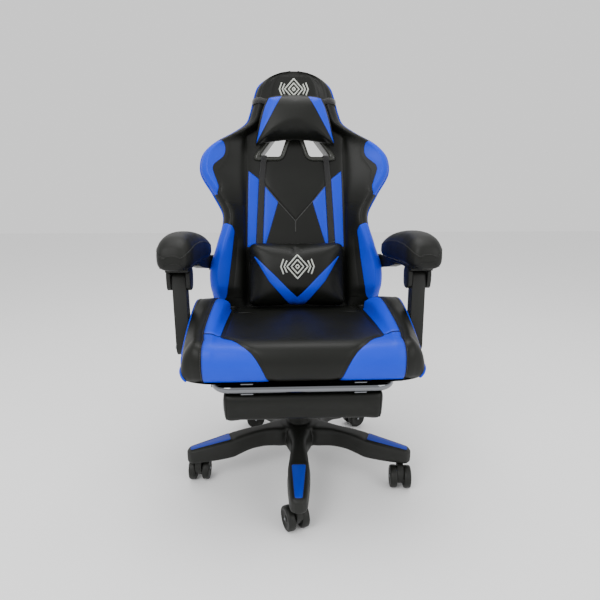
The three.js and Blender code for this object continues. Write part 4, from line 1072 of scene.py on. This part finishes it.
whole = np.concatenate([(seatGrid * [-1, 1, 1])[:, :0:-1], seatGrid], 1)
rows, columns = whole.shape[:2]
under = whole * [0.97, 0.97, 0] + [0, 0, seat["low"]]
count = rows * columns
faces = gridFaces(rows, columns) + [[i + count for i in f][::-1] for f in gridFaces(rows, columns)]
rim = ([r * columns for r in range(rows)] + [(rows - 1) * columns + c for c in range(1, columns)]
       + [r * columns + columns - 1 for r in range(rows - 2, -1, -1)] + [c for c in range(columns - 2, 0, -1)])
for k, i in enumerate(rim):
    j = rim[(k + 1) % len(rim)]
    faces.append([i, j, j + count, i + count])
bag = Bag()
bag.add(np.concatenate([whole.reshape(-1, 3), under.reshape(-1, 3)]), faces)
tail = rounded([[150, 377, 6], [150, seatTop(150) - 1, 12], [70, seatTop(80) + 0.6, 2], [70, 377, 2]], 6, 4)
addLoft(bag, [np.stack([np.full(len(tail), x), tail[:, 0] * 1.0, tail[:, 1]], 1) for x in np.linspace(-186, 186, 20)])
for sign in (1, -1):
    ends = rounded([[96, 380, 5], [128, 380, 10], [128, 455, 14], [96, 462, 4]], 6, 4)
    addLoft(bag, [np.stack([np.full(len(ends), sign * x), ends[:, 0], ends[:, 1]], 1) for x in (184, 200, 220, 238)])
seatCover = bag.piece("seat_upholstery", blackLeather, "seat", "leather_black")
settle(seatCover, "seat_cushion", "seat_bolster_left", "seat_bolster_right")

blueSeat, blackSeat = Bag(), Bag()
cornerV = seatV(-205)
rollV = lambda share: kneeV + (lastV - kneeV) * share
innerLine = [[cornerV, 2.05], [seatV(-222), 1.9], [kneeV, 1.68], [rollV(0.2), 1.42], [rollV(0.4), 1.17],
             [rollV(0.62), 0.98], [rollV(0.85), 0.84], [rollV(1.0), 0.74]]
bandLine = [[0, 4.0], [seatV(-100), 4.0], [seatV(-180), 3.95], [kneeV, 3.9], [rollV(0.5), 3.95], [lastV, 4.0]]
for sign in (1, -1):
    addPanel(blueSeat, seatSheet, lambda v: sign * smooth([[0, 2.15], [cornerV * 0.6, 2.1], [cornerV, 2.05]], v),
             lambda v: sign * smooth(bandLine, v), 3, cornerV - 0.5, puff=2.4, rows=70, columns=30)
    addPanel(blueSeat, seatSheet, lambda v: sign * smooth(innerLine, v), lambda v: sign * smooth(bandLine, v),
             cornerV + 0.4, lastV - 4, puff=2.4, rows=80, columns=40)
    addPanel(blackSeat, seatSheet, lambda v: sign * (smooth(bandLine, v) + 0.06), sign * 6.93, 2, lastV - 2,
             puff=2.2, rows=90,
             columns=26)
addPanel(blackSeat, seatSheet, lambda v: -smooth([[0, 2.05]] + [[cornerV - 1, 2.0]] + innerLine, v) + 0.05,
         lambda v: smooth([[0, 2.05]] + [[cornerV - 1, 2.0]] + innerLine, v) - 0.05, 3, lastV - 1.5, puff=1.8,
         rows=110,
         columns=60, roll=7)
settle(blueSeat.piece("seat_blue_panels", blueLeather, "seat", "leather_blue"))
settle(blackSeat.piece("seat_black_panels", blackLeather, "seat", "leather_black"))
cord = Bag()
stitches = []
for sign in (1, -1):
    v = np.linspace(1, lastV - 1, 140)
    path = seatSheet.at(np.full(140, sign * 6.9), v) + seatSheet.normal(np.full(140, sign * 6.9), v) * 1.2
    addBar(cord, path[:132], 2.9, corners=10)
    for line, extra in ((bandLine, 0.12), (bandLine, -0.14)):
        u = np.array([sign * (smooth(line, vi) + extra) for vi in v])
        stitches.append(seatSheet.at(u, v) + seatSheet.normal(u, v) * 1.9)
settle(cord.piece("seat_piping", blueLeather, "seat", "leather_blue"))
addStitches("seat_stitches", stitches, blackThread, "seat")
print("seat upholstered")


footrest = {"y": -260, "z": 355, "tube": 11, "half": 204, "rail": 330, "padTop": 340, "padThick": 74}
rail = [(footrest["half"], y, footrest["z"]) for y in np.linspace(footrest["y"] + footrest["rail"],
                                                                  footrest["y"] + 40, 8)]
corner = [(footrest["half"] - 40 + 40 * math.cos(a), footrest["y"] + 40 - 40 * math.sin(a), footrest["z"])
          for a in np.linspace(0, math.pi / 2, 16)[1:]]
right = rail + corner
tube = Bag()
addBar(tube, np.array(right + [(-x, y, z) for x, y, z in right[::-1]]), footrest["tube"], corners=28)
settle(tube.piece("footrest_tube", brightChrome, "footrest_frame", "chrome"), "footrest_frame")
plugs = Bag()
for sign in (1, -1):
    addTurned(plugs, [(0, 0), (10.7, 0), (10.9, 1), (10.6, 3), (9, 5), (0, 5.4)], (sign * 204, 70, 355), (0, 1, 0),
              24)
settle(plugs.piece("footrest_end_plugs", blackNylon, "footrest_frame", "nylon_black"))

padY0 = footrest["y"] - 2
padLow = footrest["padTop"] - footrest["padThick"] + 3
profile = rounded([[padY0 + 3, padLow, 14], [padY0 + 153, padLow, 14],
                   [padY0 + 153, footrest["padTop"] - 3, 10], [padY0 + 3, footrest["padTop"] - 3, 12]], 12, 6)
bag = Bag()
padMiddle = profile.mean(0)
addLoft(bag, [np.stack([np.full(len(profile), x), *(((profile - padMiddle) * k + padMiddle).T)], 1)
              for x, k in ((-187, 0.86), (-185, 0.95), (-178, 1), (-100, 1), (0, 1), (100, 1), (178, 1),
                           (185, 0.95), (187, 0.86))])
footPad = bag.piece("footrest_cushion", blackLeather, "footrest_pad", "leather_black")
padTopZ = (footrest["padTop"] - 8) / 1000
inflate(footPad, 5, 3.5, 3.5, lambda p: p[:, 2] > padTopZ)
settle(footPad, "footrest_pad")
tree = castTree(footPad)
welt = Bag()
for sign in (1, -1):
    ring = []
    for a in np.linspace(0, 2 * np.pi, 72, endpoint=False):
        start = toRow([sign * 180, padMiddle[0] + 150 * math.cos(a), padMiddle[1] + 150 * math.sin(a)])
        towards = Vector(toRow([sign * 180, *padMiddle]) - start).normalized()
        hit = tree.ray_cast(Vector(start), towards)[0]
        if hit is not None:
            ring.append(np.array(hit) * 1000 - [0, swivelY * 1000, 0])
    addBar(welt, evenly(ring, 4), 1.5, corners=8, closed=True, hint=(1, 0, 0))
settle(welt.piece("footrest_welts", blackLeather, "footrest_pad", "leather_black"))
refined(["footrest_hinge"], brightChrome, "footrest_pad", 0.8)
print("footrest made")


arm = {"x": 308, "top": 692}


def padCentre(y):
    return arm["x"] - smooth([[-150, 2], [-60, 2], [20, 8], [90, 22], [150, 32]], y)


padStations = [(-151, 16, 640, 625), (-149, 25, 650, 616), (-143, 34, 664, 608), (-128, 41, 677, 604.5),
               (-105, 44.5, 686, 603),
               (-60, 45.5, 691.5, 602.6), (-10, 45, 691, 602.6), (35, 42.5, 685, 602.6), (75, 38, 675, 603),
               (110, 32, 662, 604),
               (134, 25, 650, 607), (145, 17, 641, 613), (149, 9, 634, 620)]
padRows = through([list(s) for s in padStations], 6)
a = np.linspace(0, 2 * np.pi, 56, endpoint=False)
crown = {"side": 0.7, "top": 0.86}
for sign, side in ((1, "left"), (-1, "right")):
    rings = []
    for y, reach, top, bottom in padRows:
        x = padCentre(y)
        dx = np.sign(np.cos(a)) * np.abs(np.cos(a)) ** crown["side"]
        dz = np.sign(np.sin(a)) * np.abs(np.sin(a)) ** np.where(np.sin(a) > 0, crown["top"], 0.6)
        widest = bottom + (top - bottom) * 0.44
        z = np.where(dz > 0, widest + (top - widest) * dz, widest + (widest - bottom) * dz)
        rings.append(np.stack([sign * (x + reach * dx), np.full(56, y), z], 1))
    rings = np.array(rings)
    bag = Bag()
    addLoft(bag, rings)
    pad = bag.piece(f"arm_pad_{side}", armFoam, f"armrest_{side}", "armpad_foam")
    settle(pad, f"armrest_pad_{side}")
    seamBag = Bag()
    loopIn, loopOut = rings[3:-3, 25], rings[3:-3, 3]
    front = rings[2, 3:26]
    path = evenly(np.concatenate([loopOut[::-1], front[1:-1], loopIn]), 4, False)
    addBar(seamBag, path, 0.9, corners=6)
    low = np.concatenate([rings[2:-2, 50][::-1], rings[1, 34:50][::-1], rings[2:-2, 34]])
    addBar(seamBag, evenly(low, 4, False), 1.3, corners=6)
    settle(seamBag.piece(f"arm_pad_seam_{side}", armFoam, f"armrest_{side}", "armpad_foam"))
    lifted = path + np.array([0, 0, 2.6])
    addStitches(f"arm_pad_stitches_{side}", [lifted], blackThread, f"armrest_{side}")
    refined([f"armrest_frame_{side}"], blackNylon, f"armrest_{side}", 2.6, 3)
    refined([f"arm_strut_{side}"], blackNylon, f"arm_strut_{side}", 3.0, 3)
print("armrests made")


base = {"reach": 322, "turn": -2.7, "low": 81, "high": 141, "knee": 200, "insert": [203, 312]}


def armTop(r):
    if r > base["knee"]:
        return 123 - 20 * (r - base["knee"]) / (base["reach"] - base["knee"])
    return smooth([[50, 140], [144, 134], [188, 127], [200, 123]], r)


def armLow(r):
    return smooth([[50, 82], [110, 84], [150, 82], [200, 70], [322, 67]], r)


def turnedAbout(points, angle):
    c, s = math.cos(angle), math.sin(angle)
    p = np.asarray(points, float)
    return np.stack([p[..., 0] * c - p[..., 1] * s, p[..., 0] * s + p[..., 1] * c, p[..., 2]], -1)


a = np.linspace(0, 2 * np.pi, 40, endpoint=False)
armRings = []
for r in np.concatenate([np.linspace(20, 300, 50), 300 + 21.5 * np.sin(np.linspace(0.1, 1, 12) * np.pi / 2)]):
    reach = smooth([[20, 34], [60, 36], [84, 28], [112, 22.5], [160, 25.5], [212, 29.5], [300, 22.6], [314, 18],
                    [322, 9]], r)
    high, low = armTop(r), armLow(r)
    if r > 312:
        high, low = high - (r - 312) * 0.5, low + (r - 312) * 0.4
    mid, tall = (high + low) / 2, (high - low) / 2
    power = 0.34 if r > 190 else 0.42
    y = reach * np.sign(np.cos(a)) * np.abs(np.cos(a)) ** power
    z = mid + tall * np.sign(np.sin(a)) * np.abs(np.sin(a)) ** power
    armRings.append(np.stack([np.full(40, r), y * np.where(np.sin(a) > 0, 0.94, 1.0), z], 1))
armRings = np.array(armRings)
starBag, inserts, grooves = Bag(), Bag(), Bag()
for i in range(5):
    angle = math.radians(-90 + base["turn"] + 72 * i)
    addLoft(starBag, turnedAbout(armRings, angle))
    slope = math.atan2(-20, base["reach"] - base["knee"])
    length = 109 / math.cos(slope)
    layers = []
    for z, k in ((-1.5, 0.0), (0.5, 0.0), (1.3, 0.5), (1.7, 1.4)):
        shrunk = np.array(grown([[0, -18], [length, -9], [length, 9], [0, 18]], -k))
        q = rounded(shrunk.tolist(), 5, 6)
        layers.append(np.stack([base["insert"][0] + q[:, 0] * math.cos(slope) - z * math.sin(slope), q[:, 1],
                                armTop(base["insert"][0] + 0.01) + q[:,
                                                                     0] * math.sin(slope) + z * math.cos(slope)], 1))
    addLoft(inserts, turnedAbout(layers, angle))
    q = rounded(grown([[0, -18], [length, -9], [length, 9], [0, 18]], 0.8), 5.8, 6)
    line = np.stack([base["insert"][0] + q[:, 0] * math.cos(slope), q[:, 1],
                     armTop(203.01) + q[:, 0] * math.sin(slope) + 0.5], 1)
    addBar(grooves, turnedAbout(line, angle), 1.0, corners=6, closed=True)
addTurned(starBag, [(0, 80), (52, 80), (58, 82.5), (60.5, 90), (60, 122), (57, 138), (53, 142), (27, 143.5),
                    (0, 143.5)],
          (0, 0, 0), corners=64)
star = starBag.piece("star_base_moulding", blackNylon, "base", "nylon_black")
fuse = star.modifiers.new("fuse", "REMESH")
fuse.mode, fuse.voxel_size = "VOXEL", 0.0026
soften = star.modifiers.new("soften", "SMOOTH")
soften.iterations, soften.factor = 5, 0.5
modified(star)
star.data.shade_smooth()
settle(star, "star_base")
settle(inserts.piece("arm_insert_plates", blueNylon, "base", "nylon_blue"), *[f"arm_insert_{i}" for i in range(1, 6)])
settle(grooves.piece("arm_insert_frames", blackNylon, "base", "nylon_black"))
print("star base moulded")


wheel = {"radius": 30, "wide": 20}
tyreProfile = [(0, 4.5), (7, 4.6), (7.6, 3.2), (15.5, 3.2), (16.5, 1.6), (24.5, 0.6), (26.5, 0.4), (28.4, 1.4),
               (29.6, 3.4), (30, 6),
               (30, 14.5), (29.4, 17.4), (27.8, 19.3), (25, 20), (21, 19.4), (18.6, 17.8), (9, 17.2), (7.8, 18.6),
               (4.6, 19.2),
               (0, 19.3)]
for i in range(1, 6):
    refined([f"castor_{i}_hood"], blackNylon, f"castor_{i}", 1.4, 3)
    lows = {s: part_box(f"castor_{i}_wheel_{s}") for s in ("left", "right")}
    mids = {s: (lo + hi) / 2 for s, (lo, hi) in lows.items()}
    axle = (mids["left"] - mids["right"]).normalized()
    for side, out in (("left", axle), ("right", -axle)):
        centre = np.array(mids[side]) * 1000 - [0, swivelY * 1000, 0] - np.array(out) * wheel["wide"] / 2
        bag, pin = Bag(), Bag()
        addTurned(bag, tyreProfile, centre, np.array(out), 48)
        made = bag.piece(f"castor_{i}_tyre_{side}", blackNylon, f"castor_{i}_{side}", "nylon_black")
        made.data.set_sharp_from_angle(angle=math.radians(50))
        settle(made, f"castor_{i}_wheel_{side}")
        addTurned(pin, [(0, 0), (3.4, 0), (3.4, 1.2), (2.6, 2.0), (0, 2.3)], centre + np.array(out) * 18.9,
                  np.array(out), 16)
        settle(pin.piece(f"castor_{i}_pin_{side}", springSteel, f"castor_{i}_{side}", "steel_spring"))
print("castors made")



def coverPiece(name, radius, low, high, body, node):
    profile = [(radius - 2.4, low), (radius, low), (radius + 0.5, low + 1)]
    for k in range(5):
        z = low + 6 + k * 4
        profile += [(radius + 0.4, z), (radius - 0.3, z + 1), (radius - 0.3, z + 2), (radius + 0.4, z + 3)]
    profile += [(radius, high - 5), (radius + 0.6, high - 3), (radius + 0.4, high - 0.6), (radius - 0.6, high),
                (radius - 2.4, high)]
    a = np.linspace(0, 2 * np.pi, 48, endpoint=False)
    rings = [np.stack([r * np.cos(a), r * np.sin(a), np.full(48, z)], 1) for r, z in profile + profile[:1]]
    bag = Bag()
    bag.add(np.array(rings), gridFaces(len(rings), 48, True))
    made = bag.piece(name, blackNylon, body, "nylon_black")
    made.data.set_sharp_from_angle(angle=math.radians(40))
    settle(made, node)


coverPiece("lift_cover_lower", 35.5, 141.6, 231.2, "base", "cover_lower")
coverPiece("lift_cover_middle", 32.4, 146.6, 236.2, "cover_middle", "cover_middle")
coverPiece("lift_cover_upper", 29.3, 155.6, 289.2, "column", "cover_upper")
refined(["gas_outer_tube"], coatedSteel, "base", 0.8)
refined(["gas_inner_tube"], springSteel, "column", 0.5)
refined(["piston_rod"], springSteel, "lift_rod", 0.4)
refined(["mechanism_housing"], coatedSteel, "column", 1.2)
refined(["mechanism_plate"], coatedSteel, "seat", 0.8)
refined(["seat_frame"], coatedSteel, "seat", 0.8)
refined(["lift_lever"], blackNylon, "lift_lever", 0.5)
refined(["tension_knob"], blackNylon, "tension_knob", 0.8)
refined(["recline_lever"], blackNylon, "recline_lever", 2.0, 3)
for side in ("left", "right"):
    refined([f"footrest_guide_{side}"], blackNylon, "seat", 1.2)
    refined([f"recliner_{side}"], coatedSteel, "seat", 1.0)
    refined([f"hinge_plate_{side}"], coatedSteel, "backrest", 0.8)

# The tension spring as a real coil
spring = {"y": -68, "low": 249.4, "high": 289.6, "radius": 14, "wire": 1.9, "turns": 6.5}
angles = np.linspace(0, spring["turns"] * 2 * np.pi, int(spring["turns"] * 28))
share = angles / angles[-1]
rise = np.clip((share - 0.09) / 0.82, 0, 1)
coil = np.stack([spring["radius"] * np.cos(angles), spring["y"] + spring["radius"] * np.sin(angles),
                 spring["low"] + spring["wire"] + (spring["high"] - spring["low"] - 2 * spring["wire"]) * rise], 1)
bag = Bag()
addBar(bag, coil, spring["wire"], corners=8)
coilPiece = settle(bag.piece("tension_coil", springSteel, "column", "steel_spring"), "tension_spring")
anchor = toRow([0, spring["y"], spring["high"]])
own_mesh(coilPiece)

# Screw heads: one small domed head with a hexagon socket, placed by Geometry Nodes


def screwTree():
    tree = bpy.data.node_groups.new("screw_heads", "GeometryNodeTree")
    tree.interface.new_socket("Geometry", in_out="INPUT", socket_type="NodeSocketGeometry")
    for label, value in (("Radius", 0.005), ("Height", 0.003)):
        tree.interface.new_socket(label, in_out="INPUT", socket_type="NodeSocketFloat").default_value = value
    tree.interface.new_socket("Direction", in_out="INPUT", socket_type="NodeSocketVector").default_value = (1, 0, 0)
    tree.interface.new_socket("Material", in_out="INPUT", socket_type="NodeSocketMaterial")
    tree.interface.new_socket("Geometry", in_out="OUTPUT", socket_type="NodeSocketGeometry")
    given = addNode(tree, "NodeGroupInput").outputs
    head = addNode(tree, "GeometryNodeMeshUVSphere", {}, Segments=16, Rings=8, Radius=1.0)
    socket = addNode(tree, "GeometryNodeMeshCylinder", {}, Vertices=6, Radius=0.45, Depth=1.2)
    moved = addNode(tree, "GeometryNodeTransform", None, Geometry=socket.outputs["Mesh"], Translation=(0, 0, 1.0))
    hollow = addNode(tree, "GeometryNodeMeshBoolean", {"operation": "DIFFERENCE"}, i0=head.outputs["Mesh"],
                     i1=moved.outputs["Geometry"])
    spots = addNode(tree, "GeometryNodeCurveToPoints", {"mode": "EVALUATED"}, Curve=given["Geometry"]).outputs
    turn = addNode(tree, "FunctionNodeAlignRotationToVector", {"axis": "Z"}, Vector=given["Direction"])
    size = addNode(tree, "ShaderNodeCombineXYZ", None, X=given["Radius"], Y=given["Radius"], Z=given["Height"])
    placed = addNode(tree, "GeometryNodeInstanceOnPoints", None, Points=spots["Points"],
                     Instance=hollow.outputs["Mesh"], Rotation=turn.outputs["Rotation"], Scale=size.outputs["Vector"])
    real = addNode(tree, "GeometryNodeRealizeInstances", None, Geometry=placed.outputs["Instances"])
    dressed = addNode(tree, "GeometryNodeSetMaterial", None, Geometry=real.outputs["Geometry"],
                      Material=given["Material"])
    addNode(tree, "NodeGroupOutput", None, Geometry=dressed.outputs["Geometry"])
    return tree


screwNodes = screwTree()
for side, sign in (("left", 1), ("right", -1)):
    spots = [(sign * 338.2, -60, 575), (sign * 320.2, -90, 400)]
    fromNodes(f"arm_screw_{side}", [[spots[0], (spots[0][0], -60, 575.01)]], screwNodes,
              {"Radius": 0.0062, "Height": 0.0024, "Direction": (sign, 0, 0)}, springSteel, f"armrest_{side}")
    fromNodes(f"seat_screw_{side}", [[spots[1], (spots[1][0], -90, 400.01)]], screwNodes,
              {"Radius": 0.0062, "Height": 0.0024, "Direction": (sign, 0, 0)}, springSteel, "seat")
print("mechanism made")


floorData = bpy.data.meshes.new("floor")
floorData.from_pydata([(-8, -8, 0), (8, -8, 0), (8, 8, 0), (-8, 8, 0)], [], [(0, 1, 2, 3)])
floor = bpy.data.objects.new("floor", floorData)
bpy.context.scene.collection.objects.link(floor)
paper, tree, shader, place = startMaterial("white_studio_paper", "#f4f4f4", 0.9)
floorData.materials.append(paper)

world = bpy.data.worlds.new("studio")
bpy.context.scene.world = world
world.use_nodes = True
world.node_tree.nodes["Background"].inputs["Color"].default_value = (1, 1, 1, 1)
world.node_tree.nodes["Background"].inputs["Strength"].default_value = 1.05


def addLight(name, place, target, size, power):
    data = bpy.data.lights.new(name, "AREA")
    data.shape, data.size, data.energy = "SQUARE", size, power
    lamp = bpy.data.objects.new(name, data)
    bpy.context.scene.collection.objects.link(lamp)
    lamp.location = place
    lamp.rotation_euler = (Vector(target) - Vector(place)).to_track_quat("-Z", "Y").to_euler()


addLight("key", (-1.6, -2.4, 2.6), (0, 0, 0.6), 1.6, 60)
addLight("fill", (2.2, -2.2, 1.8), (0, 0, 0.6), 1.8, 30)
addLight("top", (0, 0.2, 3.0), (0, 0, 0.5), 1.6, 40)

view = bpy.data.cameras.new("view")
view.lens, view.sensor_width = 28.416, 36
camera = bpy.data.objects.new("view", view)
bpy.context.scene.collection.objects.link(camera)
camera.location = (-0.0568, swivelY - 1.2687, 0.794)
camera.rotation_euler = (math.radians(77), 0, math.radians(-2.7))
bpy.context.scene.camera = camera
